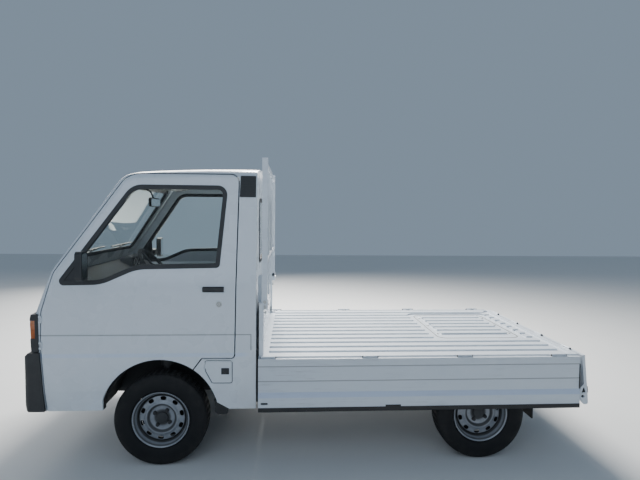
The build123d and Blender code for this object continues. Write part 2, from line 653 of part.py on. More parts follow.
def screen_point(y, z, out):
    """Point at a height on the windscreen's slope, some way out from it."""
    slope = math.hypot(1, SCREEN_RAKE)
    x = COWL - SCREEN_RAKE * (z - COWL_Z) - y * y / 2 / PLAN_RADIUS
    return (x + out / slope, y, z + out * SCREEN_RAKE / slope)


wipers = []
for pivot_y in (-90, 430):
    pivot = screen_point(pivot_y, 1146, 0.3)
    head = screen_point(pivot_y, 1146, 20)
    tip = screen_point(pivot_y - 430, 1208, 14)
    wipers.append(rod(pivot, head, 9) + rod(head, tip, 5))
save("wipers", *wipers)

vent_low, vent_high = CAB_TOP - 198, CAB_TOP - 74
vent_front = DOOR_REAR - SHUT_GAP
vent_corners = [(CAB_BACK + 6, vent_low, 4), (CAB_BACK + 6, vent_high, 4), (vent_front - 4, vent_high, 4),
                (vent_front, vent_low, 4)]
vent = wall_slab(-4, 0) & prism_y(vent_corners, door_y, wide)
for row in range(1, 8):
    slat_z = vent_low + row * (vent_high - vent_low) / 8
    vent -= wall_slab(-6, -1.5) & block(CAB_BACK + 14, vent_front - 10, 0, wide, slat_z - 3.5, slat_z + 3.5)
save("cab_vents", *both_sides(vent))

# Load bed: ribbed plate, side sills, rear sill, hinge lugs
bed = block(BED_REAR, BED_FRONT, -BED_HALF, BED_HALF, BED_TOP - RIB_HEIGHT - BED_PLATE, BED_TOP - RIB_HEIGHT)
hatch_x0, hatch_x1, hatch_y0, hatch_y1 = HATCH
hatch_corners = [(hatch_x0, hatch_y0, HATCH_CORNER), (hatch_x1, hatch_y0, HATCH_CORNER),
                 (hatch_x1, hatch_y1, HATCH_CORNER), (hatch_x0, hatch_y1, HATCH_CORNER)]
flat_margin = 45
for number in range(-6, 7):
    rib_y = number * RIB_PITCH
    if abs(rib_y) + RIB_WIDTH / 2 > BED_HALF:
        continue
    bed += block(RIB_REAR, RIB_FRONT, rib_y - RIB_WIDTH / 2, rib_y + RIB_WIDTH / 2, BED_TOP - RIB_HEIGHT,
                 BED_TOP)


def hatch_grown(amount):
    """The hatch's outline with its sides moved outwards."""
    mid_x, mid_y = (hatch_x0 + hatch_x1) / 2, (hatch_y0 + hatch_y1) / 2
    return [(a + math.copysign(amount, a - mid_x), b + math.copysign(amount, b - mid_y), r)
            for a, b, r in hatch_corners]


bed -= prism_z(hatch_grown(flat_margin), BED_TOP - RIB_HEIGHT, BED_TOP + 10)
bed -= prism_z(hatch_grown(HATCH_GAP), 0, BED_TOP + 10)
sill_low = 560
for side in (-1, 1):
    low_y, high_y = sorted((side * (BED_HALF - 26), side * BED_HALF))
    bed += block(BED_REAR, BED_FRONT, low_y, high_y, sill_low, BED_TOP)
bed += block(BED_REAR, BED_REAR + 24, -BED_HALF, BED_HALF, sill_low, BED_TOP)
for hinge_x in HINGE_X:
    for side in (-1, 1):
        for shift in (-29, 29):
            knuckle = rod((hinge_x + shift - 13, side * GATE_AXIS_Y, GATE_AXIS_Z),
                          (hinge_x + shift + 13, side * GATE_AXIS_Y, GATE_AXIS_Z), HINGE_RADIUS)
            y_low, y_high = sorted((side * (BED_HALF - 2), side * GATE_AXIS_Y))
            bed += knuckle + block(hinge_x + shift - 13, hinge_x + shift + 13, y_low, y_high,
                                   GATE_AXIS_Z - HINGE_RADIUS, GATE_AXIS_Z - 1)
for hinge_y in (-520, -180, 180, 520):
    for shift in (-29, 29):
        knuckle = rod((TAIL_AXIS_X, hinge_y + shift - 13, GATE_AXIS_Z),
                      (TAIL_AXIS_X, hinge_y + shift + 13, GATE_AXIS_Z), HINGE_RADIUS)
        bed += knuckle + block(TAIL_AXIS_X, BED_REAR + 2, hinge_y + shift - 13, hinge_y + shift + 13,
                               GATE_AXIS_Z - HINGE_RADIUS, GATE_AXIS_Z - 1)
save("bed_deck", bed)

hatch_top = BED_TOP - RIB_HEIGHT
hatch = prism_z(hatch_corners, hatch_top - 6, hatch_top)
for number in range(-6, 7):
    rib_y = number * RIB_PITCH
    if rib_y - RIB_WIDTH / 2 < hatch_y0 + flat_margin or rib_y + RIB_WIDTH / 2 > hatch_y1 - flat_margin + 30:
        continue
    hatch += block(hatch_x0 + flat_margin, hatch_x1 - flat_margin, rib_y - RIB_WIDTH / 2,
                   rib_y + RIB_WIDTH / 2, hatch_top, BED_TOP)
flange = prism_z(hatch_grown(14), hatch_top - BED_PLATE - 6, hatch_top - BED_PLATE)
hatch += flange + prism_z(hatch_corners, hatch_top - BED_PLATE - 6, hatch_top)
save("engine_hatch", hatch)

# Headboard, and the guard frame that stands on its upper corners
BOARD_WALL = 12
BOARD_RISE = 311
board_front = BED_FRONT - 2
board_rear = board_front - BOARD_WALL
board_top = BED_TOP + BOARD_RISE
guard_foot = BED_TOP - RIB_HEIGHT
board_half = BED_HALF - 4
guard = block(board_rear, board_front, -board_half, board_half, guard_foot, board_top)
guard += block(board_rear - 14, board_front, -board_half, board_half, board_top - 40, board_top)
guard += block(board_rear - 6, board_rear, -board_half + 40, board_half - 40,
               guard_foot + 130, guard_foot + 165)
post_rear = board_front - 47
for side in (-1, 1):
    end_y = sorted((side * (board_half - 8), side * board_half))
    guard += block(board_rear - 14, board_front, *end_y, guard_foot, board_top)
    guard += block(post_rear, post_rear + POST, side * POST_Y - POST / 2, side * POST_Y + POST / 2,
                   board_top - 40, GUARD_TOP)
    guard += block(post_rear - 3, board_rear, side * POST_Y - POST / 2 - 3, side * POST_Y + POST / 2 + 3,
                   board_top - 40, board_top + 18)
top_rail_z = GUARD_TOP - 38
for rail_z, rail_depth in ((board_top + 230, 28), (top_rail_z, 30)):
    guard += block(post_rear + 4, post_rear + 28, -POST_Y, POST_Y,
                   rail_z - rail_depth / 2, rail_z + rail_depth / 2)
for post_y in (-220, 220):
    guard += block(post_rear + 7, post_rear + 25, post_y - 12, post_y + 12, board_top - 20, top_rail_z)
sill_notch = block(post_rear - 7, BED_FRONT + 4, BED_HALF - 26.3, BED_HALF + 5, 0, BED_TOP + 0.3)
guard = guard - sill_notch - mirrored(sill_notch)
save("guard_frame", guard)

# Side gate, built hanging from its hinge line
slab_top = GATE_AXIS_Z - GATE_START
slab_low = slab_top - GATE_LENGTH
gate_face = GATE_AXIS_Y + GATE_SHEET
gate_proud = GATE_AXIS_Y + GATE_WALL
gate = prism_x([
    (GATE_AXIS_Y, slab_top, 0), (gate_face, slab_top, 3), (gate_face, slab_top - GATE_STEP[0], 8),
    (gate_proud, slab_top - GATE_STEP[1], 8), (gate_proud, slab_low, 3), (GATE_AXIS_Y, slab_low, 3)],
    GATE_REAR, GATE_FRONT)
for line in GATE_LINES:
    gate -= block(GATE_REAR + 12, GATE_FRONT - 12, gate_face - 2, gate_proud,
                  slab_top - line - 2, slab_top - line + 2)
# Finger slot near the front end, and a long shallow panel on the face that is outside when closed
slot_x, slot_z = GATE_FRONT - 35, slab_low + 32
slot_face = Pos(slot_x, slot_z) * SlotOverall(42, 13)
gate -= prism_y_face(slot_face, gate_proud - 9, gate_proud + 5)
gate -= prism_y([(GATE_REAR + 60, slab_top - 50, 12), (GATE_FRONT - 60, slab_top - 50, 12),
                 (GATE_FRONT - 60, slab_low + 50, 12), (GATE_REAR + 60, slab_low + 50, 12)],
                GATE_AXIS_Y - 5, GATE_AXIS_Y + 3)
for hinge_x in HINGE_X:
    low_x, high_x = hinge_x - 15.5, hinge_x + 15.5
    gate -= block(hinge_x - 47, hinge_x + 47, GATE_AXIS_Y - 1, GATE_AXIS_Y + 14, GATE_AXIS_Z - 14,
                  slab_top + 1)
    gate += rod((low_x, GATE_AXIS_Y, GATE_AXIS_Z), (high_x, GATE_AXIS_Y, GATE_AXIS_Z), HINGE_RADIUS)
    gate += block(low_x, high_x, GATE_AXIS_Y + 1, GATE_AXIS_Y + HINGE_RADIUS, GATE_AXIS_Z - 16, GATE_AXIS_Z)
    gate += block(low_x, high_x, GATE_AXIS_Y + 1, GATE_AXIS_Y + 18, GATE_AXIS_Z - 18, GATE_AXIS_Z - 12)
save("side_gate_left", gate)
save("side_gate_right", mirrored(gate))
# Rubber strip over the gate's free edge
strip_out = 0.3 + STRIP_WALL
strip_high, strip_low = slab_low + 9, slab_low - STRIP_DEPTH
strip = prism_x([
    (GATE_AXIS_Y - strip_out, strip_high, 0), (GATE_AXIS_Y - strip_out, strip_low, 6),
    (gate_proud + strip_out, strip_low, 6), (gate_proud + strip_out, strip_high, 0),
    (gate_proud + 0.3, strip_high, 0), (gate_proud + 0.3, slab_low - 0.3, 0),
    (GATE_AXIS_Y - 0.3, slab_low - 0.3, 0), (GATE_AXIS_Y - 0.3, strip_high, 0)], GATE_REAR, GATE_FRONT)
save("side_gate_strip_left", strip)
save("side_gate_strip_right", mirrored(strip))

# Tailgate, hanging with a small outward tilt
tail = block(TAIL_AXIS_X - TAIL_WALL, TAIL_AXIS_X, -TAIL_HALF, TAIL_HALF, slab_low, slab_top)
for low, high in ((43, 128), (136, 218)):
    tail -= prism_x([(-TAIL_HALF + 40, slab_top - low, 8), (TAIL_HALF - 40, slab_top - low, 8),
                     (TAIL_HALF - 40, slab_top - high, 8), (-TAIL_HALF + 40, slab_top - high, 8)],
                    TAIL_AXIS_X - TAIL_WALL - 5, TAIL_AXIS_X - TAIL_WALL + 4)
for hinge_y in (-520, -180, 180, 520):
    low_y, high_y = hinge_y - 15.5, hinge_y + 15.5
    tail -= block(TAIL_AXIS_X - 14, TAIL_AXIS_X + 1, hinge_y - 47, hinge_y + 47, GATE_AXIS_Z - 14,
                  slab_top + 1)
    tail += rod((TAIL_AXIS_X, low_y, GATE_AXIS_Z), (TAIL_AXIS_X, high_y, GATE_AXIS_Z), HINGE_RADIUS)
    tail += block(TAIL_AXIS_X - HINGE_RADIUS, TAIL_AXIS_X - 1, low_y, high_y, GATE_AXIS_Z - 18, GATE_AXIS_Z)
    tail += block(TAIL_AXIS_X - TAIL_WALL, TAIL_AXIS_X - 1, low_y, high_y, GATE_AXIS_Z - 18, GATE_AXIS_Z - 12)
# Latch plate at each end, with its eye, and the lever that shows through it
PLATE = 6
EYE_RADIUS = 9
latch_plate = prism_y([
    (TAIL_AXIS_X - TAIL_WALL, slab_low + 105, 0), (TAIL_AXIS_X + 4, slab_low + 112, 10),
    (TAIL_AXIS_X + 27, slab_low + 84, 10), (TAIL_AXIS_X + 30, slab_low + 16, 10),
    (TAIL_AXIS_X + 10, slab_low - 11, 10), (TAIL_AXIS_X - TAIL_WALL + 6, slab_low - 11, 6),
    (TAIL_AXIS_X - TAIL_WALL, slab_low - 3, 0)],
    TAIL_HALF - PLATE, TAIL_HALF)
tail_face = TAIL_AXIS_X - TAIL_WALL
lever_void = prism_y([(tail_face + 9, slab_low + 60, 3), (TAIL_AXIS_X + 19, slab_low + 60, 3),
                      (TAIL_AXIS_X + 3, slab_low + 98, 3)], TAIL_HALF - 30, TAIL_HALF + 5)
eye = rod((TAIL_AXIS_X + 13, TAIL_HALF - 30, slab_low + 39),
          (TAIL_AXIS_X + 13, TAIL_HALF + 5, slab_low + 39), EYE_RADIUS)
lever = prism_y([(tail_face - 5.5, slab_low + 57, 2), (tail_face - 0.3, slab_low + 57, 0),
                 (tail_face - 0.3, slab_low + 96, 0), (tail_face - 6, slab_low + 96, 3)],
                TAIL_HALF - 55, TAIL_HALF - 3)
levers = []
for side in (0, 1):
    plate, void = latch_plate, lever_void + eye
    if side:
        plate, void = mirrored(plate), mirrored(void)
    tail = tail + plate - void
    levers.append(mirrored(lever) if side else lever)
tail_axis = Axis((TAIL_AXIS_X, 0, GATE_AXIS_Z), (0, 1, 0))
save("tailgate", tail.rotate(tail_axis, TAIL_TILT))
save("tailgate_levers", *[piece.rotate(tail_axis, TAIL_TILT) for piece in levers])

# Chassis rails and cross members
rail_front = COWL - 18
rail_corners = [
    (BED_REAR + 40, RAIL_HIGH, 0), (150, RAIL_HIGH, 120), (330, RAIL_LOW, 120), (rail_front, RAIL_LOW, 0),
    (rail_front, RAIL_LOW + RAIL_DEPTH, 0), (350, RAIL_LOW + RAIL_DEPTH, 120),
    (170, RAIL_HIGH + RAIL_DEPTH, 120),
    (BED_REAR + 40, RAIL_HIGH + RAIL_DEPTH, 0)]
rail = prism_y(rail_corners, RAIL_Y - RAIL_WIDTH / 2, RAIL_Y + RAIL_WIDTH / 2)
save("frame_rails", *both_sides(rail))
inner_y = RAIL_Y - RAIL_WIDTH / 2
members = []
for member_x, member_z in ((rail_front - 30, RAIL_LOW), (FRONT_AXLE, RAIL_LOW), (620, RAIL_LOW),
                           (100, RAIL_HIGH), (-420, RAIL_HIGH), (-780, RAIL_HIGH), (-1520, RAIL_HIGH)):
    members.append(block(member_x - 25, member_x + 25, -inner_y, inner_y, member_z + 10, member_z + 70))
rail_top = RAIL_HIGH + RAIL_DEPTH
bearer_top = BED_TOP - RIB_HEIGHT - BED_PLATE
for bearer_x in (260, -200, -620, -1500):
    members.append(block(bearer_x - 30, bearer_x + 30, -BED_HALF + 27, BED_HALF - 27, rail_top, bearer_top))
save("frame_crossmembers", *members)

# Engine, tank, exhaust
save("engine", block(-1430, -1090, -300, 160, 300, 585))
save("fuel_tank", block(-330, -70, RAIL_Y + RAIL_WIDTH / 2 + 0.3, 600, 300, 480))
muffler_top = 430
exhaust = prism_y([(-1545, 320, 50), (-1545, muffler_top, 50), (-1445, muffler_top, 50), (-1445, 320, 50)],
                  -260, 240)
exhaust += rod((-1500, -255, 370), (-1500, -420, 350), 20) + rod((-1500, -420, 350), (-1585, -440, 345), 20)
for strap_y in (-150, 150):
    exhaust += block(-1528, -1508, strap_y - 12, strap_y + 12, muffler_top - 20, RAIL_HIGH + 9.7)
save("exhaust", exhaust)

# Rear panel under the bed, with the lamps
rear_panel = block(BED_REAR, BED_REAR + 12, -BED_HALF, BED_HALF, 400, sill_low)
for side in (-1, 1):
    y_low, y_high = sorted((side * 470, side * 650))
    rear_panel -= block(BED_REAR - 5, BED_REAR + 20, y_low - 1, y_high + 1, 440, 540)
save("rear_panel", rear_panel)
tail_lamps = []
for side in (-1, 1):
    y_low, y_high = sorted((side * 470, side * 650))
    tail_lamps.append(block(BED_REAR - 8, BED_REAR + 11, y_low - 0.7, y_high + 0.7, 440.3, 539.7))
save("tail_lamps", *tail_lamps)

# Wheels: pressed steel rim with a ring of oval vents, and a tyre
HUB_BORE = 26
LUG_CIRCLE = 50
VENTS = 10
VENT_CIRCLE = 114


def wheel_axis_profile(points, centre_y):
    """Ring turned about the wheel's axle line from (y, r, radius) corners."""
    face = Plane.YZ * outline(points)
    ring = revolve(face, Axis.Y, 360)
    return Pos(0, centre_y, 0) * ring


half = TYRE_WIDTH / 2
bead = RIM_LIP + 0.4
tyre_corners = [(-half, bead, 0), (-half, TYRE_RADIUS - 10, 0), (-half + 7, TYRE_RADIUS, 0),
                (half - 7, TYRE_RADIUS, 0), (half, TYRE_RADIUS - 10, 0), (half, bead, 0)]
rim_corners = [
    (-62, RIM_LIP, 0), (62, RIM_LIP, 0), (62, RIM_LIP - 5, 0), (54, RIM_LIP - 10, 0), (54, RIM_RADIUS - 2, 0),
    (26, RIM_RADIUS - 6, 0), (26, 100, 0), (36, 92, 0), (36, 84, 0), (20, 72, 0), (20, HUB_BORE, 0),
    (12, HUB_BORE, 0), (12, 74, 0), (28, 86, 0), (28, 90, 0), (18, 98, 0), (18, RIM_RADIUS - 6, 0),
    (-50, RIM_RADIUS - 2, 0), (-54, RIM_LIP - 8, 0), (-62, RIM_LIP - 5, 0)]


def make_wheel(axle_x, centre_y):
    """Tyre and rim at one corner; the dished side faces away from the truck."""
    tyre = wheel_axis_profile(tyre_corners, 0)
    rim = wheel_axis_profile(rim_corners, 0)
    for number in range(VENTS):
        angle = number * 360 / VENTS
        slot = Plane.XZ * SlotOverall(26, 15)
        cutter = extrude(slot, amount=60, both=True)
        rim -= Rot(0, angle, 0) * (Pos(0, 0, VENT_CIRCLE) * cutter)
    for number in range(4):
        angle = math.radians(45 + number * 90)
        place = (LUG_CIRCLE * math.cos(angle), LUG_CIRCLE * math.sin(angle))
        nut = extrude(Plane((place[0], 14, place[1]), z_dir=(0, 1, 0)) * RegularPolygon(10, 6), amount=18)
        rim += nut
    facing = 1 if centre_y > 0 else -1
    if facing < 0:
        tyre, rim = mirrored(tyre), mirrored(rim)
    place = Pos(axle_x, centre_y, TYRE_RADIUS)
    return place * tyre, place * rim


corners = (
    ("front_left", FRONT_AXLE, TRACK_FRONT / 2),
    ("front_right", FRONT_AXLE, -TRACK_FRONT / 2),
    ("rear_left", REAR_AXLE, TRACK_REAR / 2),
    ("rear_right", REAR_AXLE, -TRACK_REAR / 2),
)
for name, axle_x, centre_y in corners:
    tyre, rim = make_wheel(axle_x, centre_y)
    save("tyre_" + name, tyre)
    save("rim_" + name, rim)

# Front knuckles: spindle, drum plate, upright and steering arm
STRUT_RADIUS = 20
UPRIGHT_LOW = TYRE_RADIUS - 84
UPRIGHT_TOP = TYRE_RADIUS + 250
centre = TRACK_FRONT / 2
drum_face = centre + 4
knuckle = rod((FRONT_AXLE, kingpin_y, TYRE_RADIUS), (FRONT_AXLE, centre + 22, TYRE_RADIUS), HUB_BORE - 0.3)
knuckle += rod((FRONT_AXLE, centre - 60, TYRE_RADIUS), (FRONT_AXLE, drum_face, TYRE_RADIUS), 100)
knuckle += rod((FRONT_AXLE, kingpin_y, UPRIGHT_LOW), (FRONT_AXLE, kingpin_y, UPRIGHT_TOP), STRUT_RADIUS)
knuckle += rod((FRONT_AXLE, kingpin_y, TYRE_RADIUS - 30),
               (FRONT_AXLE + 110, kingpin_y - 20, TYRE_RADIUS - 30), 12)
save("knuckle_left", knuckle)
save("knuckle_right", mirrored(knuckle))

# Front strut tops and lower arms, rear axle, arms and hubs
arm_z = UPRIGHT_LOW - 28
front_suspension = []
for side in (-1, 1):
    ball = (FRONT_AXLE, side * kingpin_y, arm_z)
    inner_end = (FRONT_AXLE, side * (inner_y - 40), arm_z + 60)
    arm = rod(ball, inner_end, 16)
    arm += rod((inner_end[0], inner_end[1], inner_end[2] - 14),
               (inner_end[0], inner_end[1], RAIL_LOW + 9.7), 18)
    brace_end = (FRONT_AXLE + 270, side * RAIL_Y, RAIL_LOW - 34)
    arm += rod(ball, brace_end, 13)
    arm += rod((brace_end[0], brace_end[1], brace_end[2] - 12),
               (brace_end[0], brace_end[1], RAIL_LOW - 0.3), 16)
    arm += rod(ball, (FRONT_AXLE, side * kingpin_y, UPRIGHT_LOW - 0.3), 17)
    front_suspension.append(arm)
    above_tyre = (FRONT_AXLE, side * kingpin_y, 2 * TYRE_RADIUS + 10)
    strut = rod((FRONT_AXLE, side * kingpin_y, UPRIGHT_TOP + 0.3), above_tyre, STRUT_RADIUS)
    strut_top = (FRONT_AXLE, side * kingpin_y, SEAT_DECK_Z - FLOOR_WALL - 0.3)
    front_suspension.append(strut + rod(above_tyre, strut_top, 36))
save("front_suspension", *front_suspension)

rear_y = TRACK_REAR / 2
rail_side = RAIL_Y + RAIL_WIDTH / 2
REAR_STRUT = 40
strut_y = rail_side + REAR_STRUT + 0.3
rear_parts = rod((REAR_AXLE, -rear_y - 22, TYRE_RADIUS), (REAR_AXLE, rear_y + 22, TYRE_RADIUS),
                 HUB_BORE - 0.3)
rear_parts += rod((REAR_AXLE, -rear_y + 90, TYRE_RADIUS), (REAR_AXLE, rear_y - 90, TYRE_RADIUS), 38)
for side in (-1, 1):
    rear_parts += rod((REAR_AXLE, side * (rear_y - 60), TYRE_RADIUS),
                      (REAR_AXLE, side * (rear_y + 4), TYRE_RADIUS), 100)
    pivot = (REAR_AXLE + 420, side * strut_y, RAIL_HIGH + 24)
    rear_parts += rod((REAR_AXLE, side * strut_y, TYRE_RADIUS + 10), pivot, 20)
    rear_parts += rod((pivot[0], side * (rail_side + 0.3), pivot[2]),
                      (pivot[0], side * (strut_y + 26), pivot[2]), 22)
    rear_parts += rod((REAR_AXLE, side * strut_y, TYRE_RADIUS),
                      (REAR_AXLE, side * strut_y, RAIL_HIGH + RAIL_DEPTH), REAR_STRUT)
save("rear_suspension", rear_parts)

# Mud flaps: a moulded one behind each front wheel, and a hanging sheet behind each rear one
flaps = []
sill_slope = (SILL_RISE + 11) / 100
flap_rear, flap_front = arch_rear - 78, arch_rear + 6


def sill_line(x):
    """Height of the sill's sloping underside, less the flap's clearance."""
    return CAB_FLOOR - 5 + sill_slope * (x - arch_rear + 90) - 0.5


flap = prism_y([(flap_rear, sill_line(flap_rear), 0), (flap_front, sill_line(flap_front), 0),
                (flap_front - 4, CAB_FLOOR - 20, 14), (flap_front - 24, CAB_FLOOR - 36, 14),
                (flap_rear + 8, CAB_FLOOR - 34, 12)], liner_high + 4, CAB_HALF - 16)
flaps += both_sides(flap)
REAR_FLAP_X = REAR_AXLE - 330
flaps += both_sides(block(REAR_FLAP_X - 4, REAR_FLAP_X + 4, TRACK_REAR / 2 - 95, TRACK_REAR / 2 + 40,
                          230, sill_low))
save("mud_flaps", *flaps)
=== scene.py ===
import json
import logging
import math
from collections.abc import Callable, Sequence
from dataclasses import dataclass
from enum import Enum, IntEnum
from typing import NamedTuple

import bmesh
import bpy
from mathutils import Matrix, Vector


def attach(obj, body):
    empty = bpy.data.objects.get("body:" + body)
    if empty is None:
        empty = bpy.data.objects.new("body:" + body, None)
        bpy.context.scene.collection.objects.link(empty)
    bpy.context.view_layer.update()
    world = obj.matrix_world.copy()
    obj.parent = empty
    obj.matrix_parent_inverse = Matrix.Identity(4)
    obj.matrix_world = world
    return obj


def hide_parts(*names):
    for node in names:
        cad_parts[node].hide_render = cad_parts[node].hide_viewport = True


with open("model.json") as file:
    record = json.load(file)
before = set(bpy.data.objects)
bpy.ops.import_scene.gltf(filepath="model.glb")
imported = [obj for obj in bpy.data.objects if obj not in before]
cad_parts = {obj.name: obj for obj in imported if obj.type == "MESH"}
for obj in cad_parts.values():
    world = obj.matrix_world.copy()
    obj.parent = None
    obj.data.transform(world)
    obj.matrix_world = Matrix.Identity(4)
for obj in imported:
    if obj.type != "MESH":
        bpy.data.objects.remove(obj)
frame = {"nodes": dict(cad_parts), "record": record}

log = logging.getLogger("kei_truck")

Colour = tuple[float, float, float]
Point = tuple[float, float, float]
Pair = tuple[float, float]
Outline = tuple[Pair, ...]

SMOOTH_ANGLE = math.radians(32)

# Sockets of a Mix node for share, first and second colour, and its result
MIX_INPUTS = (0, 6, 7)
MIX_RESULT = 2

# Windscreen of the cab: cowl line, slope and crown, in metres
COWL, COWL_Z = 1.518, 1.130
SCREEN_RAKE = 0.698
PLAN_RADIUS = 7.0


class Axis(IntEnum):
    """Axes of the truck, numbered by their place in a point."""

    X = 0
    Y = 1
    Z = 2


class Side(IntEnum):
    """Sides of the truck, as the sign of y."""

    LEFT = 1
    RIGHT = -1

    @property
    def label(self) -> str:
        """The side as the nodes and bodies write it."""
        return self.name.lower()


class Corner(Enum):
    """The four wheels: name, hub point and which way the outer face looks."""

    FRONT_LEFT = ("front_left", (0.885, 0.605, 0.268), Side.LEFT)
    FRONT_RIGHT = ("front_right", (0.885, -0.605, 0.268), Side.RIGHT)
    REAR_LEFT = ("rear_left", (-1.0, 0.6, 0.268), Side.LEFT)
    REAR_RIGHT = ("rear_right", (-1.0, -0.6, 0.268), Side.RIGHT)

    @property
    def label(self) -> str:
        """Name of the corner as the nodes write it."""
        return self.value[0]

    @property
    def hub(self) -> Vector:
        """Middle of the wheel."""
        return Vector(self.value[1])

    @property
    def side(self) -> Side:
        """Side of the truck that the wheel is on."""
        return self.value[2]


class Recipe:
    """Shader nodes of one material, with short calls to add and join them."""

    def __init__(self, name: str) -> None:
        """Start an empty material with a Principled shader.

        Args:
            name: The material's name.
        """
        self.material = bpy.data.materials.new(name)
        self.material.use_nodes = True
        self.tree = self.material.node_tree
        self.shader = next(n for n in self.tree.nodes if n.type == "BSDF_PRINCIPLED")
        self.place = self.add("ShaderNodeTexCoord").outputs["Object"]

    def add(self, kind: str, settings: dict[str, object] | None = None,
            **inputs: object) -> bpy.types.Node:
        """Add a node.

        Args:
            kind: Blender's type name of the node.
            settings: The node's own options.
            inputs: Values or links for its sockets, with underscores for spaces.

        Returns:
            The new node.
        """
        node = self.tree.nodes.new(kind)
        for option, value in (settings or {}).items():
            setattr(node, option, value)
        for socket, value in inputs.items():
            self.feed(node.inputs[socket.replace("_", " ")], value)
        return node

    def feed(self, socket: bpy.types.NodeSocket, value: object) -> None:
        """Give a socket a value or a link.

        Args:
            socket: The socket to fill.
            value: A number, a colour or another node's output.
        """
        if isinstance(value, bpy.types.NodeSocket):
            self.tree.links.new(value, socket)
        elif isinstance(value, (tuple, list)) and len(value) == 3 and socket.type == "RGBA":
            socket.default_value = (*value, 1.0)
        else:
            socket.default_value = value

    def surface(self, **sockets: object) -> None:
        """Set the shader's sockets."""
        for socket, value in sockets.items():
            self.feed(self.shader.inputs[socket.replace("_", " ")], value)

    def moved(self, centre: Point = (0, 0, 0), scale: Point = (1, 1, 1)) -> object:
        """Object coordinates, scaled and shifted."""
        return self.add("ShaderNodeMapping", Vector=self.place, Location=centre,
                        Scale=scale).outputs["Vector"]

    def noise(self, scale: float, detail: float = 3, rough: float = 0.5, where: object = None) -> object:
        """Soft random pattern, at so many patches per metre."""
        return self.add("ShaderNodeTexNoise", Vector=where or self.place, Scale=scale, Detail=detail,
                        Roughness=rough).outputs["Fac"]

    def specks(self, scale: float) -> object:
        """Distance to scattered points, so many per metre."""
        return self.add("ShaderNodeTexVoronoi", Vector=self.place, Scale=scale).outputs["Distance"]

    def bands(self, scale: float, axis: Axis) -> object:
        """Even waves along an axis, at a scale in the shader's unit."""
        return self.add("ShaderNodeTexWave", {"bands_direction": axis.name}, Vector=self.place,
                        Scale=scale).outputs["Fac"]

    def span(self, value: object, low: float, high: float, to_low: float = 0, to_high: float = 1) -> object:
        """Map one range onto another, clamped."""
        return self.add("ShaderNodeMapRange", Value=value, From_Min=low, From_Max=high, To_Min=to_low,
                        To_Max=to_high).outputs["Result"]

    def calc(self, rule: str, first: object, second: object = 0.0) -> object:
        """Arithmetic on two values.

        Args:
            rule: Blender's name of the operation.
            first: Left value.
            second: Right value.

        Returns:
            The result.
        """
        node = self.add("ShaderNodeMath", {"operation": rule})
        self.feed(node.inputs[0], first)
        self.feed(node.inputs[1], second)
        return node.outputs[0]

    def times(self, first: object, *others: object) -> object:
        """Product of values.

        Args:
            first: First value.
            others: The values that it is multiplied by.

        Returns:
            The product.
        """
        for other in others:
            first = self.calc("MULTIPLY", first, other)
        return first

    def mix(self, share: object, first: object, second: object) -> object:
        """Blend two colours.

        Args:
            share: How much of the second.
            first: First colour.
            second: Second colour.

        Returns:
            The blended colour.
        """
        node = self.add("ShaderNodeMix", {"data_type": "RGBA"})
        for number, value in zip(MIX_INPUTS, (share, first, second)):
            self.feed(node.inputs[number], value)
        return node.outputs[MIX_RESULT]

    def along(self, axis: Axis, where: object = None) -> object:
        """One coordinate in metres, of a vector or of the Object coordinates."""
        return self.add("ShaderNodeSeparateXYZ", Vector=where or self.place).outputs[axis.name]

    def outward(self) -> object:
        """Distance from the truck's middle plane."""
        return self.calc("ABSOLUTE", self.along(Axis.Y))

    def near(self, value: object, middle: float, half: float, soft: float) -> object:
        """1 within half a width of a middle, fading to 0 over a soft edge."""
        gap = self.calc("ABSOLUTE", self.calc("SUBTRACT", value, middle))
        return self.span(gap, half, half + soft, 1, 0)

    def reach(self, hub: Vector) -> object:
        """Distance from a wheel's axle line.

        Args:
            hub: Middle of the wheel.

        Returns:
            The distance.
        """
        local = self.moved(tuple(-c for c in hub))
        across = self.calc("POWER", self.along(Axis.X, local), 2.0)
        upward = self.calc("POWER", self.along(Axis.Z, local), 2.0)
        return self.calc("SQRT", self.calc("ADD", across, upward))

    def relief(self, height: object, strength: float, distance: float) -> None:
        """Bump from a height pattern, at a share of its depth in metres."""
        bump = self.add("ShaderNodeBump", Height=height, Strength=strength, Distance=distance)
        self.surface(Normal=bump.outputs["Normal"])


def dimmed(colour: Colour, share: float) -> Colour:
    """The colour at a share of its brightness."""
    return tuple(c * share for c in colour)


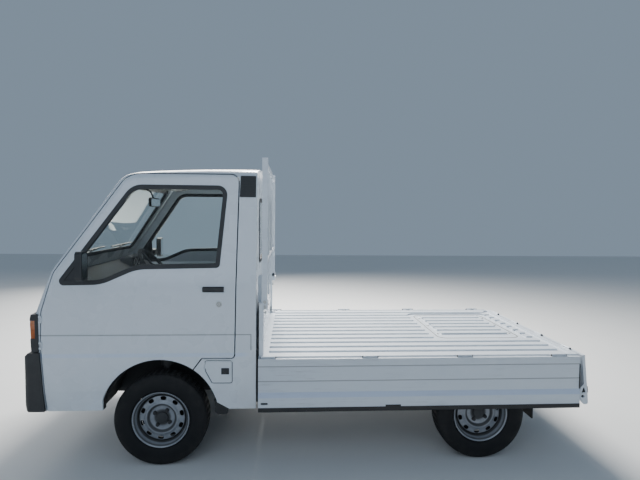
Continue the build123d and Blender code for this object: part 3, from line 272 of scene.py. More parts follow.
@dataclass(frozen=True)
class BodyPaint:
    """Solid paint on sheet steel: road dust low down, painted shade along the doors' crease, a painted sky
    reflection on the pressed fold, black inside the wheel arches.
    """

    name: str = "body_paint"
    colour: Colour = (0.72, 0.77, 0.82)
    dust: Colour = (0.48, 0.45, 0.41)
    # Colour of the painted shade along the doors' crease
    painted_shade: Colour = (0.16, 0.16, 0.15)
    # Near black inside the wheel arches
    arch_black: Colour = (0.014, 0.014, 0.015)
    dust_top: float = 0.62
    dust_share: float = 0.30
    shine: float = 0.22
    # Height, rear end and lower end of the doors' crease, and height of the pressed fold
    crease: float = 0.769
    crease_rear: float = 0.368
    crease_low: float = 0.680
    fold: float = 0.653
    # Colour of the painted sky reflection on the pressed fold
    fold_painted_reflection: Colour = (0.58, 0.70, 0.93)
    # Where the outer skin starts, and the box of the wheel arches' inside
    skin: float = 0.672
    cabin_rear: float = 0.365
    nose: float = 1.490
    deck: float = 0.640
    edge: float = 0.002

    def make(self) -> bpy.types.Material:
        """Material of the paint."""
        r = Recipe(self.name)
        cloud = r.noise(2.2, 4, 0.6)
        tone = r.mix(r.span(cloud, 0.35, 0.7), self.colour, dimmed(self.colour, 0.965))
        across, upward, forward = r.outward(), r.along(Axis.Z), r.along(Axis.X)
        low = r.span(upward, 0.25, self.dust_top, self.dust_share, 0.02)
        dirt = r.times(low, r.span(r.noise(9, 5, 0.65), 0.38, 0.72))
        side = r.span(across, self.skin, self.skin + 0.006)
        edge, tall = self.edge, self.crease - self.crease_low
        # Painted shade along the doors' crease: a dark line at its height and down its rear end
        line = r.times(r.near(upward, self.crease, edge, edge),
                       r.span(forward, self.crease_rear - edge, self.crease_rear))
        turn = r.times(r.near(forward, self.crease_rear, edge, edge),
                       r.near(upward, self.crease - tall / 2, tall / 2, 0.003))
        groove = r.times(r.calc("MAXIMUM", line, turn), side)
        # Painted sky reflection in a band on the pressed fold; the same band also raises the bump
        pressed = r.times(r.near(upward, self.fold, 0.007, 0.008), side,
                          r.span(forward, self.crease_rear, self.crease_rear + 0.05))
        with_fold_reflection = r.mix(r.times(pressed, 0.4), tone, self.fold_painted_reflection)
        painted = r.mix(r.times(groove, 0.6), r.mix(dirt, with_fold_reflection, self.dust), self.painted_shade)
        # Near black on surfaces inside the outer skin, below the deck and along the cab
        inside = r.times(r.span(across, self.skin - 0.006, self.skin - 0.004, 1, 0),
                         r.span(upward, self.deck, self.deck + edge, 1, 0),
                         r.span(forward, self.nose, self.nose + edge, 1, 0),
                         r.span(forward, self.cabin_rear, self.cabin_rear + edge))
        shine = r.span(r.noise(6, 3), 0.3, 0.7, self.shine, self.shine + 0.14)
        r.surface(Base_Color=r.mix(inside, painted, self.arch_black), Coat_Weight=0.5, Coat_Roughness=0.1,
                  Roughness=r.calc("MAXIMUM", shine, r.times(inside, 0.85)))
        r.relief(r.calc("ADD", r.times(pressed, 20.0), r.noise(420, 2)), 0.05, 0.0004)
        return r.material


@dataclass(frozen=True)
class BedPaint:
    """Paint on the load bed, scuffed along its length and chipped to primer, with painted shade in the gates'
    pressed lines and a painted sky reflection on their sloped band.
    """

    name: str = "bed_paint"
    colour: Colour = (0.63, 0.68, 0.735)
    scuff: Colour = (0.40, 0.42, 0.44)
    rust: Colour = (0.27, 0.15, 0.09)
    # Colour of the painted shade in the gates' pressed lines
    painted_shade: Colour = (0.20, 0.20, 0.19)
    # Outer face of the gates, heights of their pressed lines and of their sloped band, and the colour of the
    # painted sky reflection on that band
    gate_face: float = 0.704
    gate_lines: Pair = (0.589, 0.504)
    gate_slope: float = 0.424
    slope_painted_reflection: Colour = (0.40, 0.52, 0.76)

    def make(self) -> bpy.types.Material:
        """Material of the worn paint."""
        r = Recipe(self.name)
        drag = r.noise(14, 6, 0.7, r.moved(scale=(0.35, 5, 5)))
        patch = r.noise(3.1, 4, 0.6)
        worn = r.times(r.span(drag, 0.52, 0.66), r.span(patch, 0.42, 0.62))
        tone = r.mix(r.times(worn, 0.55), self.colour, self.scuff)
        chip = r.times(r.span(r.specks(34), 0.07, 0.03), r.span(r.noise(4.3, 2), 0.6, 0.68))
        upper, lower = (r.near(r.along(Axis.Z), line, 0.0018, 0.002) for line in self.gate_lines)
        face = r.span(r.outward(), self.gate_face, self.gate_face + 0.002)
        # Painted sky reflection on the gates' sloped band
        slope = r.times(r.near(r.along(Axis.Z), self.gate_slope, 0.013, 0.005), face)
        tone = r.mix(r.times(slope, 0.45), tone, self.slope_painted_reflection)
        # Painted shade in the gates' pressed lines
        groove = r.times(r.calc("MAXIMUM", upper, lower), face)
        tone = r.mix(r.times(groove, 0.6), tone, self.painted_shade)
        r.surface(Base_Color=r.mix(chip, tone, self.rust), Coat_Weight=0.25, Coat_Roughness=0.2,
                  Roughness=r.span(drag, 0.3, 0.7, 0.3, 0.52))
        r.relief(r.calc("ADD", drag, r.times(chip, -1.5)), 0.12, 0.0006)
        return r.material


@dataclass(frozen=True)
class Moulding:
    """Grained moulded plastic or rubber, greyed by sun and dust."""

    name: str
    colour: Colour
    faded: Colour
    rough: float
    grain: float
    depth: float
    fade: float = 0.5

    def make(self) -> bpy.types.Material:
        """Material of the moulding."""
        r = Recipe(self.name)
        cloud = r.noise(7, 5, 0.65)
        tone = r.mix(r.times(r.span(cloud, 0.35, 0.75), self.fade), self.colour, self.faded)
        r.surface(Base_Color=tone, Roughness=r.span(cloud, 0.3, 0.7, self.rough - 0.06, self.rough + 0.12))
        r.relief(r.calc("ADD", r.noise(self.grain, 2), r.specks(self.grain * 0.6)), self.depth, 0.0004)
        return r.material


@dataclass(frozen=True)
class Metal:
    """Bare, cast, plated or painted metal with stains."""

    name: str
    colour: Colour
    stain: Colour
    metallic: float
    rough: float
    stains: float
    pits: float

    def make(self) -> bpy.types.Material:
        """Material of the metal."""
        r = Recipe(self.name)
        cloud = r.noise(16, 6, 0.68)
        share = r.times(r.span(cloud, 0.46, 0.74), self.stains)
        r.surface(Base_Color=r.mix(share, self.colour, self.stain), Metallic=self.metallic,
                  Roughness=r.span(cloud, 0.3, 0.7, self.rough, self.rough + 0.2))
        r.relief(r.noise(self.pits, 4, 0.6), 0.15, 0.0005)
        return r.material


@dataclass(frozen=True)
class Glass:
    """Clear or tinted sheet glass."""

    name: str = "sheet_glass"
    colour: Colour = (0.93, 0.97, 0.95)
    rough: float = 0.0

    def make(self) -> bpy.types.Material:
        """Material of the glass."""
        r = Recipe(self.name)
        film = r.span(r.noise(5, 4, 0.6), 0.45, 0.8, self.rough, self.rough + 0.05)
        r.surface(Base_Color=self.colour, Roughness=film, IOR=1.2, Transmission_Weight=1.0)
        return r.material


@dataclass(frozen=True)
class Lens:
    """Moulded lamp lens with flutes inside it."""

    name: str
    colour: Colour
    clear: float
    flutes: float
    axis: Axis = Axis.Y

    def make(self) -> bpy.types.Material:
        """Material of the lens."""
        r = Recipe(self.name)
        flute = r.bands(self.flutes, self.axis)
        tone = r.mix(r.times(flute, 0.3), self.colour, dimmed(self.colour, 0.6))
        r.surface(Base_Color=tone, Roughness=0.12, Transmission_Weight=self.clear, IOR=1.45,
                  Coat_Weight=0.5, Coat_Roughness=0.05)
        r.relief(flute, 0.35, 0.002)
        return r.material


@dataclass(frozen=True)
class Cloth:
    """Woven seat cloth."""

    name: str
    colour: Colour
    thread: Colour
    pitch: float

    def make(self) -> bpy.types.Material:
        """Material of the cloth."""
        r = Recipe(self.name)
        weave = r.times(*(r.bands(self.pitch, axis) for axis in Axis))
        tone = r.mix(r.span(weave, 0.0, 0.5), self.colour, self.thread)
        worn = r.span(r.noise(11, 4), 0.5, 0.8, 0, 0.3)
        r.surface(Base_Color=r.mix(worn, tone, self.colour), Roughness=0.92, Sheen_Weight=0.25)
        r.relief(weave, 0.4, 0.001)
        return r.material


@dataclass(frozen=True)
class TyreRubber:
    """Tyre compound with rings on the wall and dust toward the tread."""

    name: str
    hub: Vector
    colour: Colour = (0.006, 0.0065, 0.008)
    dust: Colour = (0.050, 0.047, 0.043)

    def make(self) -> bpy.types.Material:
        """Material of one tyre."""
        r = Recipe(self.name)
        radius = r.reach(self.hub)
        dusty = r.times(r.span(radius, 0.2, 0.27, 0.1, 0.6), r.span(r.noise(20, 5, 0.65), 0.35, 0.7))
        ring = r.calc("SINE", r.times(radius, 1500.0))
        r.surface(Base_Color=r.mix(dusty, self.colour, self.dust), Roughness=r.span(dusty, 0, 1, 0.62, 0.9),
                  Specular_IOR_Level=0.3)
        r.relief(r.calc("ADD", r.times(ring, 0.15), r.noise(300, 3)), 0.25, 0.0007)
        return r.material


@dataclass(frozen=True)
class WheelPaint:
    """Silver paint on a pressed wheel, with random brake dust, and rings of painted shade and brake dust in
    its well, its dish and round the nuts.
    """

    name: str
    hub: Vector
    colour: Colour = (0.29, 0.31, 0.34)
    # Dark colour of the painted shade and of the brake dust
    painted_shade: Colour = (0.035, 0.033, 0.031)
    # Radius, half width, fade and strength of each ring of painted shade and brake dust
    rings: tuple[tuple[float, float, float, float], ...] = (
        (0.1525, 0.0015, 0.003, 0.8), (0.1365, 0.0055, 0.004, 0.9), (0.0780, 0.004, 0.006, 0.8),
        (0.0340, 0.008, 0.012, 0.85))

    def make(self) -> bpy.types.Material:
        """Material of one wheel."""
        r = Recipe(self.name)
        radius = r.reach(self.hub)
        # Random brake dust first, then the rings of painted shade and brake dust
        painted_shade = r.times(r.span(r.noise(24, 5, 0.7), 0.45, 0.75), 0.35)
        for middle, half, soft, share in self.rings:
            painted_shade = r.calc("MAXIMUM", painted_shade, r.times(r.near(radius, middle, half, soft), share))
        r.surface(Base_Color=r.mix(painted_shade, self.colour, self.painted_shade), Metallic=0.35, Coat_Weight=0.2,
                  Coat_Roughness=0.2, Roughness=r.span(painted_shade, 0, 1, 0.34, 0.75))
        r.relief(r.noise(110, 3), 0.1, 0.0004)
        return r.material


class Coat(NamedTuple):
    """A finish, and the record's slot that it stands for."""

    material: bpy.types.Material
    slot: str


def coats(kind: type, *rows: tuple) -> list[Coat]:
    """A coat for each row, which gives its name, its slot and the finish's own values."""
    return [Coat(kind(name, *values).make(), slot) for name, slot, *values in rows]


class Paints:
    """Every finish of the truck, made once."""

    def __init__(self) -> None:
        """Make the materials and list which of the record's slots takes which."""
        self.body = Coat(BodyPaint().make(), "body_white")
        self.bed = Coat(BedPaint().make(), "bed_white")
        # Name, slot, colour, faded colour, roughness, grains per metre and strength of the grain
        self.plastic, self.rubber, self.dash, self.vinyl, self.gauge, self.seal, self.pale = coats(
            Moulding,
            ("bumper_plastic", "black_plastic", (0.018, 0.019, 0.021), (0.075, 0.077, 0.08), 0.5, 700, 0.3),
            ("window_rubber", "black_rubber", (0.012, 0.012, 0.013), (0.05, 0.05, 0.05), 0.5, 500, 0.1),
            ("dash_plastic", "dash_grey", (0.115, 0.12, 0.13), (0.17, 0.175, 0.18), 0.6, 1100, 0.3),
            ("trim_vinyl", "dash_grey", (0.21, 0.215, 0.22), (0.27, 0.27, 0.27), 0.62, 800, 0.25),
            ("gauge_face", "glass", (0.02, 0.022, 0.024), (0.03, 0.03, 0.032), 0.16, 90, 0.03),
            ("hatch_seal_rubber", "black_rubber", (0.075, 0.06, 0.045), (0.14, 0.12, 0.09), 0.75, 600, 0.2),
            ("pale_plastic", "bed_white", (0.74, 0.74, 0.72), (0.62, 0.62, 0.60), 0.4, 500, 0.05))
        self.glass = Coat(Glass().make(), "glass")
        # Name, slot, colour, clearness, flutes and their axis
        self.clear, self.amber, self.red = coats(
            Lens,
            ("clear_lens", "clear_lens", (0.9, 0.92, 0.93), 0.75, 36),
            ("amber_lens", "amber_lens", (0.75, 0.17, 0.015), 0.35, 40, Axis.Z),
            ("red_lens", "red_lens", (0.45, 0.012, 0.012), 0.3, 40))
        # Name, slot, colour, stain, share of metal, roughness, strength of the stains and pits per metre
        self.silver, self.chassis, self.alloy, self.heated, self.zinc, self.mirror = coats(
            Metal,
            ("wheel_paint", "wheel_silver", (0.50, 0.51, 0.52), (0.22, 0.19, 0.16), 0.65, 0.34, 0.45, 90),
            ("chassis_paint", "chassis_black", (0.03, 0.03, 0.031), (0.09, 0.085, 0.08), 0.0, 0.5, 0.7, 120),
            ("cast_alloy", "cast_engine", (0.36, 0.36, 0.35), (0.16, 0.13, 0.10), 0.9, 0.5, 0.6, 260),
            ("exhaust_steel", "exhaust_steel", (0.30, 0.27, 0.24), (0.20, 0.11, 0.06), 0.9, 0.45, 0.7, 200),
            ("zinc_plate", "chassis_black", (0.62, 0.63, 0.62), (0.33, 0.33, 0.32), 1.0, 0.3, 0.4, 200),
            ("mirror_silver", "glass", (0.80, 0.82, 0.83), (0.72, 0.74, 0.75), 1.0, 0.03, 0.2, 8))
        # Name, slot, colour, thread and threads per length, in the shader's unit
        self.cloth, self.webbing = coats(
            Cloth,
            ("seat_cloth", "seat_cloth", (0.15, 0.165, 0.19), (0.27, 0.28, 0.30), 120.0),
            ("belt_webbing", "seat_cloth", (0.03, 0.03, 0.033), (0.07, 0.07, 0.075), 260.0))
        self.by_slot = {coat.slot: coat.material for coat in (
            self.body, self.bed, self.plastic, self.rubber, self.dash, self.glass, self.clear, self.amber,
            self.red, self.silver, self.chassis, self.alloy, self.heated, self.cloth)}
        self.by_slot["tyre"] = self.rubber.material

    def dress_solids(self) -> None:
        """Give every CAD node the finish of its slot."""
        for part in frame["record"]["subparts"]:
            node = frame["nodes"][part["node"]]
            node.data.materials.clear()
            node.data.materials.append(self.by_slot[part["material_slot"]])
        log.info("dressed %d solids", len(frame["nodes"]))


def on_plane(axis: Axis, place: float, points: Sequence[Pair]) -> list[Point]:
    """Points set on the plane across an axis."""
    return [(*pair[:axis], place, *pair[axis:]) for pair in points]


def rounded(low: Pair, high: Pair, radius: float, steps: int = 5) -> list[Pair]:
    """Rectangle with round corners.

    Args:
        low: Lowest corner.
        high: Highest corner.
        radius: Corner radius.
        steps: Runs round each corner.

    Returns:
        Points in order round the outline.
    """
    left, right = low[0] + radius, high[0] - radius
    foot, top = low[1] + radius, high[1] - radius
    points = []
    for number, (across, up) in enumerate(((right, top), (left, top), (left, foot), (right, foot))):
        for step in range(steps + 1):
            turn = math.pi / 2 * (number + step / steps)
            points.append((across + radius * math.cos(turn), up + radius * math.sin(turn)))
    return points


def tile(middle: Pair, half: Pair, radius: float, steps: int = 5) -> list[Pair]:
    """Rectangle with round corners about a middle."""
    (x, y), (half_x, half_y) = middle, half
    return rounded((x - half_x, y - half_y), (x + half_x, y + half_y), radius, steps)


def screen_point(y: float, z: float, out: float) -> Point:
    """Point near the windscreen's slope.

    Args:
        y: Place across the truck.
        z: Height.
        out: Distance forward of the cab's surface.

    Returns:
        The point.
    """
    slope = math.hypot(1, SCREEN_RAKE)
    x = COWL - SCREEN_RAKE * (z - COWL_Z) - y * y / 2 / PLAN_RADIUS
    return (x + out / slope, y, z + out * SCREEN_RAKE / slope)


class Shape:
    """One mesh being built with bmesh operators."""

    def __init__(self) -> None:
        """Start with nothing."""
        self.bm = bmesh.new()

    def loop(self, points: Sequence[Point], closed: bool = True) -> list[bmesh.types.BMEdge]:
        """Line through points.

        Args:
            points: The corners.
            closed: Join the last to the first.

        Returns:
            The new edges.
        """
        verts = [self.bm.verts.new(p) for p in points]
        pairs = list(zip(verts, verts[1:]))
        if closed:
            pairs.append((verts[-1], verts[0]))
        return [self.bm.edges.new(pair) for pair in pairs]

    def spun(self, profile: Sequence[Point], centre: Vector, axis: Point, steps: int,
             closed: bool = True) -> None:
        """Profile turned a full turn.

        Args:
            profile: Corners of the profile.
            centre: Point on the axis.
            axis: Direction of the axis.
            steps: Segments round the turn.
            closed: Join the profile's last corner to its first.
        """
        edges = self.loop(profile, closed)
        geom = list({v for e in edges for v in e.verts}) + edges
        bmesh.ops.spin(self.bm, geom=geom, cent=centre, axis=axis, angle=math.tau, steps=steps,
                       use_merge=True)
        bmesh.ops.remove_doubles(self.bm, verts=self.bm.verts[:], dist=1e-6)
        bmesh.ops.recalc_face_normals(self.bm, faces=self.bm.faces[:])

    def pushed(self, faces: Sequence[bmesh.types.BMFace], depth: Point) -> None:
        """Faces pushed through a depth, with their walls.

        Args:
            faces: The flat faces.
            depth: Vector of the push.
        """
        made = bmesh.ops.extrude_face_region(self.bm, geom=faces)
        top = [g for g in made["geom"] if isinstance(g, bmesh.types.BMVert)]
        bmesh.ops.translate(self.bm, verts=top, vec=depth)
        whole = list({f for v in top for f in v.link_faces} | set(faces))
        bmesh.ops.recalc_face_normals(self.bm, faces=whole)

    def slab(self, outline: Sequence[Point], depth: Point) -> None:
        """Flat outline pushed through a depth."""
        self.pushed([self.bm.faces.new([self.bm.verts.new(p) for p in outline])], depth)

    def plate(self, axis: Axis, place: float, outline: Sequence[Pair], thick: float) -> None:
        """Outline on the plane across an axis, made thick along it."""
        self.slab(on_plane(axis, place, outline), on_plane(axis, thick, [(0, 0)])[0])

    def sheet(self, first: Pair, last: Pair, sides: Pair, depth: Point) -> None:
        """Plate across the truck from one edge to another, pushed through a depth.

        Args:
            first: x and z of one edge.
            last: x and z of the other.
            sides: Lower and higher y.
            depth: Vector of the push.
        """
        (x, z), (far_x, far_z), (low_y, high_y) = first, last, sides
        self.slab([(x, low_y, z), (x, high_y, z), (far_x, high_y, far_z), (far_x, low_y, far_z)], depth)

    def inset(self, faces: Sequence[bmesh.types.BMFace], width: float, depth: float = 0.0,
              edges: bool = False) -> None:
        """Faces inset as one region."""
        bmesh.ops.inset_region(self.bm, faces=faces, thickness=width, depth=depth, use_even_offset=True,
                               use_boundary=edges)

    def brick(self, low: Point, high: Point) -> None:
        """Box between two opposite corners.

        Args:
            low: One corner.
            high: The other.
        """
        size = [abs(second - first) for first, second in zip(low, high)]
        spot = Matrix.Translation((Vector(low) + Vector(high)) / 2) @ Matrix.Diagonal((*size, 1))
        bmesh.ops.create_cube(self.bm, size=1, matrix=spot)

    def bar(self, start: Point, end: Point, radius: float, sides: int = 12,
            end_radius: float | None = None) -> None:
        """Round bar or cone between two points.

        Args:
            start: One end.
            end: Other end.
            radius: Radius at the start.
            sides: Sides of the bar.
            end_radius: Radius at the end where it differs.
        """
        first, last = Vector(start), Vector(end)
        way = last - first
        turn = way.to_track_quat("Z", "Y").to_matrix().to_4x4()
        bmesh.ops.create_cone(self.bm, cap_ends=True, segments=sides, radius1=radius,
                              radius2=radius if end_radius is None else end_radius, depth=way.length,
                              matrix=Matrix.Translation((first + last) / 2) @ turn)

    def stud(self, axis: Axis, spot: Pair, start: float, end: float, radius: float, sides: int = 12,
             end_radius: float | None = None) -> None:
        """Round bar or cone along an axis."""
        first, last = (on_plane(axis, place, [spot])[0] for place in (start, end))
        self.bar(first, last, radius, sides, end_radius)

    def ring(self, outer: Sequence[Point], inner: Sequence[Point], depth: Point) -> None:
        """Flat ring between two outlines of as many points, pushed through a depth."""
        edges = self.loop(outer) + self.loop(inner)
        self.pushed(bmesh.ops.bridge_loops(self.bm, edges=edges)["faces"], depth)

    def run(self, points: Sequence[Point], radius: float, sides: int = 10) -> None:
        """Bent bar through points, with a ball at each bend.

        Args:
            points: The bends and the two ends.
            radius: Radius of the bar.
            sides: Sides of the bar.
        """
        for start, end in zip(points, points[1:]):
            self.bar(start, end, radius, sides)
        for bend in points[1:-1]:
            bmesh.ops.create_icosphere(self.bm, subdivisions=2, radius=radius,
                                       matrix=Matrix.Translation(bend))

    def eased(self, width: float, segments: int = 2, least: float = 0.5) -> None:
        """Round the sharp edges.

        Args:
            width: Width of the rounding.
            segments: Faces across it.
            least: Smallest angle that counts as sharp, in radians.
        """
        bm = self.bm
        bm.normal_update()
        sharp = [e for e in bm.edges if len(e.link_faces) == 2 and e.calc_face_angle(0) > least]
        bmesh.ops.bevel(bm, geom=sharp, offset=width, offset_type="OFFSET", segments=segments, profile=0.5,
                        affect="EDGES", clamp_overlap=True, material=-1)

    def mirrored(self) -> None:
        """Add the same shape on the truck's other side."""
        twin = bmesh.ops.duplicate(self.bm, geom=self.bm.verts[:] + self.bm.edges[:] + self.bm.faces[:])
        verts = [g for g in twin["geom"] if isinstance(g, bmesh.types.BMVert)]
        bmesh.ops.scale(self.bm, vec=(1, -1, 1), verts=verts)
        faces = [g for g in twin["geom"] if isinstance(g, bmesh.types.BMFace)]
        bmesh.ops.reverse_faces(self.bm, faces=faces)

    def finish(self, name: str, coat: Coat, body: str = "root", slot: str | None = None,
               smooth: bool = True) -> bpy.types.Object:
        """Turn the mesh into a piece that rides on a body.

        Args:
            name: Name of the piece.
            coat: Its finish.
            body: Body it moves with.
            slot: The record's material slot, where it isn't the finish's own; not used.
            smooth: Shade it smooth between sharp edges.

        Returns:
            The new object.
        """
        mesh = bpy.data.meshes.new(name)
        self.bm.to_mesh(mesh)
        self.bm.free()
        piece = bpy.data.objects.new(name, mesh)
        bpy.context.scene.collection.objects.link(piece)
        mesh.materials.append(coat.material)
        if smooth:
            mesh.shade_smooth()
            mesh.set_sharp_from_angle(angle=SMOOTH_ANGLE)
        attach(piece, body)
        log.info("%s: %d faces on %s", name, len(mesh.polygons), body)
        return piece


@dataclass
class Tyre:
    """Road tyre: rounded shoulders, four grooves and sipes between them."""

    corner: Corner
    radius: float = 0.268
    width: float = 0.145
    bead: float = 0.1665
    # Inset from the full width, and height over the bead or drop from the tread
    wall: Outline = ((0.012, 0), (0.004, 0.008), (0.001, 0.022), (0, 0.04), (0.001, 0.055))
    shoulder: Outline = ((0.0045, 0.024), (0.007, 0.017), (0.0115, 0.008), (0.0175, 0.0035))
    crown: float = 0.0012
    crown_half: float = 0.05
    grooves: Pair = (0.038, 0.0135)
    groove: float = 0.006
    groove_depth: float = 0.006
    draft: float = 0.0008
    sipe_inset: float = 0.0028
    sipe_depth: float = 0.004
    rib_drop: float = 0.0045
    rib_half: float = 0.052
    steps: int = 96

    def profile(self) -> list[Point]:
        """Closed cross-section at the top of the wheel, as (0, y, z) points from the hub."""
        half = self.width / 2
        right = [(half - inset, self.bead + rise) for inset, rise in self.wall]
        right += [(half - inset, self.radius - drop) for inset, drop in self.shoulder]
        for middle in self.grooves:
            outer, inner = middle + self.groove / 2, middle - self.groove / 2
            outer_crown, inner_crown = (self.radius - self.crown * (edge / self.crown_half) ** 2
                                        for edge in (outer, inner))
            right += [(outer, outer_crown), (outer - self.draft, outer_crown - self.groove_depth),
                      (inner + self.draft, inner_crown - self.groove_depth), (inner, inner_crown)]
        return [(0, y, z) for y, z in right] + [(0, -y, z) for y, z in reversed(right)]

    def build(self) -> None:
        """Make the tyre in place of the plain one."""
        hub = self.corner.hub
        shape = Shape()
        profile = [(hub.x + x, hub.y + y, hub.z + z) for x, y, z in self.profile()]
        shape.spun(profile, hub, (0, 1, 0), self.steps)
        self.cut_sipes(shape, hub)
        label = self.corner.label
        rubber = Coat(TyreRubber("tyre_rubber_" + label, hub).make(), "tyre")
        tyre = shape.finish("road_tyre_" + label, rubber, "wheel_" + label)
        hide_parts("tyre_" + label)

    def cut_sipes(self, shape: Shape, hub: Vector) -> None:
        """Press cuts into every second face of the tread ribs.

        Args:
            shape: The tyre.
            hub: Middle of the wheel.
        """
        ribs = []
        for face in shape.bm.faces:
            spot = face.calc_center_median() - hub
            reach = math.hypot(spot.x, spot.z)
            turn = round(math.atan2(spot.x, spot.z) / math.tau * self.steps - 0.5)
            if reach > self.radius - self.rib_drop and turn % 2 == 0 and abs(spot.y) < self.rib_half:
                ribs.append(face)
        bmesh.ops.inset_individual(shape.bm, faces=ribs, thickness=self.sipe_inset, depth=0)
        for face in ribs:
            spot = face.calc_center_median() - hub
            inward = Vector((-spot.x, 0, -spot.z)).normalized() * self.sipe_depth
            bmesh.ops.translate(shape.bm, verts=face.verts[:], vec=inward)


@dataclass
class SteelWheel:
    """Pressed wheel: barrel with its well, dished disc with ten oval vents, nuts, cap and valve."""

    corner: Corner
    paints: Paints
    steps: int = 40
    vents: int = 10
    sheet: float = 0.0028
    vent_band: Pair = (0.104, 0.129)
    vent_inset: float = 0.0012
    vent_turn: float = math.radians(-13)
    plate: Pair = (-0.053, -0.049)
    plate_radius: float = 0.145
    nut_circle: float = 0.050
    nut_turn: float = math.radians(33)
    # Start and end along the axle, radius, sides and end radius of each step of a nut
    nut: tuple[tuple[float, float, float, int, float], ...] = (
        (0.0195, 0.0235, 0.0125, 24, 0.0105), (0.0235, 0.0345, 0.0108, 6, 0.0108),
        (0.0345, 0.0375, 0.0062, 12, 0.0050))
    # Sections as distance along the axle and radius
    barrel: Outline = (
        (0.0618, 0.1640), (0.0600, 0.1590), (0.0560, 0.1555), (0.0520, 0.1510), (0.0400, 0.1495),
        (0.0330, 0.1440), (0.0240, 0.1380), (-0.0080, 0.1368), (-0.0240, 0.1400), (-0.0330, 0.1490),
        (-0.0500, 0.1510), (-0.0560, 0.1555), (-0.0600, 0.1590), (-0.0618, 0.1640))
    dish: Outline = (
        (0.0000, 0.1372), (0.0100, 0.1362), (0.0200, 0.1335), (0.0262, 0.1290), (0.0290, 0.1040),
        (0.0318, 0.0985), (0.0362, 0.0930), (0.0378, 0.0885), (0.0362, 0.0840), (0.0290, 0.0785),
        (0.0222, 0.0740), (0.0192, 0.0690), (0.0190, 0.0520), (0.0190, 0.0370), (0.0204, 0.0340),
        (0.0190, 0.0312), (0.0130, 0.0296))
    cap: Outline = (
        (0.0215, 0.0), (0.0215, 0.0300), (0.0195, 0.0345), (0.0262, 0.0345), (0.0310, 0.0322),
        (0.0335, 0.0180), (0.0340, 0.0))
    # Foot and tip of the valve, from the hub
    valve: tuple[Point, Point] = ((0.098, 0.028, 0.098), (0.094, 0.058, 0.094))

    def at(self, profile: Sequence[Pair]) -> list[Point]:
        """Points of a section at the top of this wheel."""
        hub, side = self.corner.hub, self.corner.side
        return [(hub.x, hub.y + side * out, hub.z + radius) for out, radius in profile]

    def turned(self, profile: Sequence[Pair], closed: bool = False) -> Shape:
        """Section turned about the axle line.

        Args:
            profile: Distances along the axle with their radii.
            closed: Join its last point to its first.

        Returns:
            The open sheet or closed ring.
        """
        shape = Shape()
        shape.spun(self.at(profile), self.corner.hub, (0, 1, 0), self.steps, closed)
        return shape

    def cut_vents(self, shape: Shape) -> None:
        """Open the vents in the disc.

        Args:
            shape: The disc.
        """
        step = math.tau / self.steps
        run = self.steps // self.vents
        low, high = self.vent_band
        openings = []
        for face in shape.bm.faces:
            spot = face.calc_center_median() - self.corner.hub
            number = int((math.atan2(spot.x, spot.z) % math.tau) // step)
            if low < math.hypot(spot.x, spot.z) < high and number % run < run // 2:
                openings.append(face)
        shape.inset(openings, self.vent_inset)
        bmesh.ops.delete(shape.bm, geom=openings, context="FACES")
        bmesh.ops.rotate(shape.bm, verts=shape.bm.verts[:], cent=self.corner.hub,
                         matrix=Matrix.Rotation(self.vent_turn, 3, "Y"))

    def thicken(self, piece: bpy.types.Object, levels: int) -> None:
        """Smooth a sheet and give it its thickness.

        Args:
            piece: The sheet.
            levels: Subdivisions.
        """
        finer = piece.modifiers.new("smooth", "SUBSURF")
        finer.levels = finer.render_levels = levels
        wall = piece.modifiers.new("sheet", "SOLIDIFY")
        wall.thickness = self.sheet
        wall.offset = 0
        piece.data.shade_smooth()
        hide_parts("rim_" + self.corner.label)

    def build(self) -> None:
        """Make the wheel in place of the plain rim."""
        hub, side, label = self.corner.hub, self.corner.side, self.corner.label
        body, spot = "wheel_" + label, (hub.x, hub.z)
        silver = Coat(WheelPaint("wheel_paint_" + label, hub).make(), "wheel_silver")
        barrel = self.turned(self.barrel)
        self.thicken(barrel.finish("wheel_barrel_" + label, silver, body, smooth=False), 1)
        disc = self.turned(self.dish)
        self.cut_vents(disc)
        self.thicken(disc.finish("wheel_disc_" + label, silver, body, smooth=False), 2)
        nuts = Shape()
        for number in range(4):
            turn = self.nut_turn + number * math.pi / 2
            x = hub.x - side * self.nut_circle * math.sin(turn)
            z = hub.z + self.nut_circle * math.cos(turn)
            for start, end, radius, sides, end_radius in self.nut:
                nuts.stud(Axis.Y, (x, z), hub.y + side * start, hub.y + side * end, radius, sides, end_radius)
        nuts.eased(0.0008, 1)
        nuts.finish("wheel_nuts_" + label, self.paints.chassis, body)
        cap = self.turned(self.cap, closed=True)
        cap.finish("hub_cap_" + label, self.paints.plastic, body, "chassis_black")
        plate = Shape()
        inner, outer = (hub.y + side * out for out in self.plate)
        plate.stud(Axis.Y, spot, inner, outer, self.plate_radius, self.steps)
        plate.eased(0.001, 1)
        holder = "knuckle_" + side.label if label.startswith("front") else "root"
        plate.finish("brake_plate_" + label, self.paints.chassis, holder)
        valve = Shape()
        foot, tip = ((hub.x + x, hub.y + side * y, hub.z + z) for x, y, z in self.valve)
        valve.bar(foot, tip, 0.004, 10, 0.0032)
        valve.finish("valve_" + label, self.paints.rubber, body)


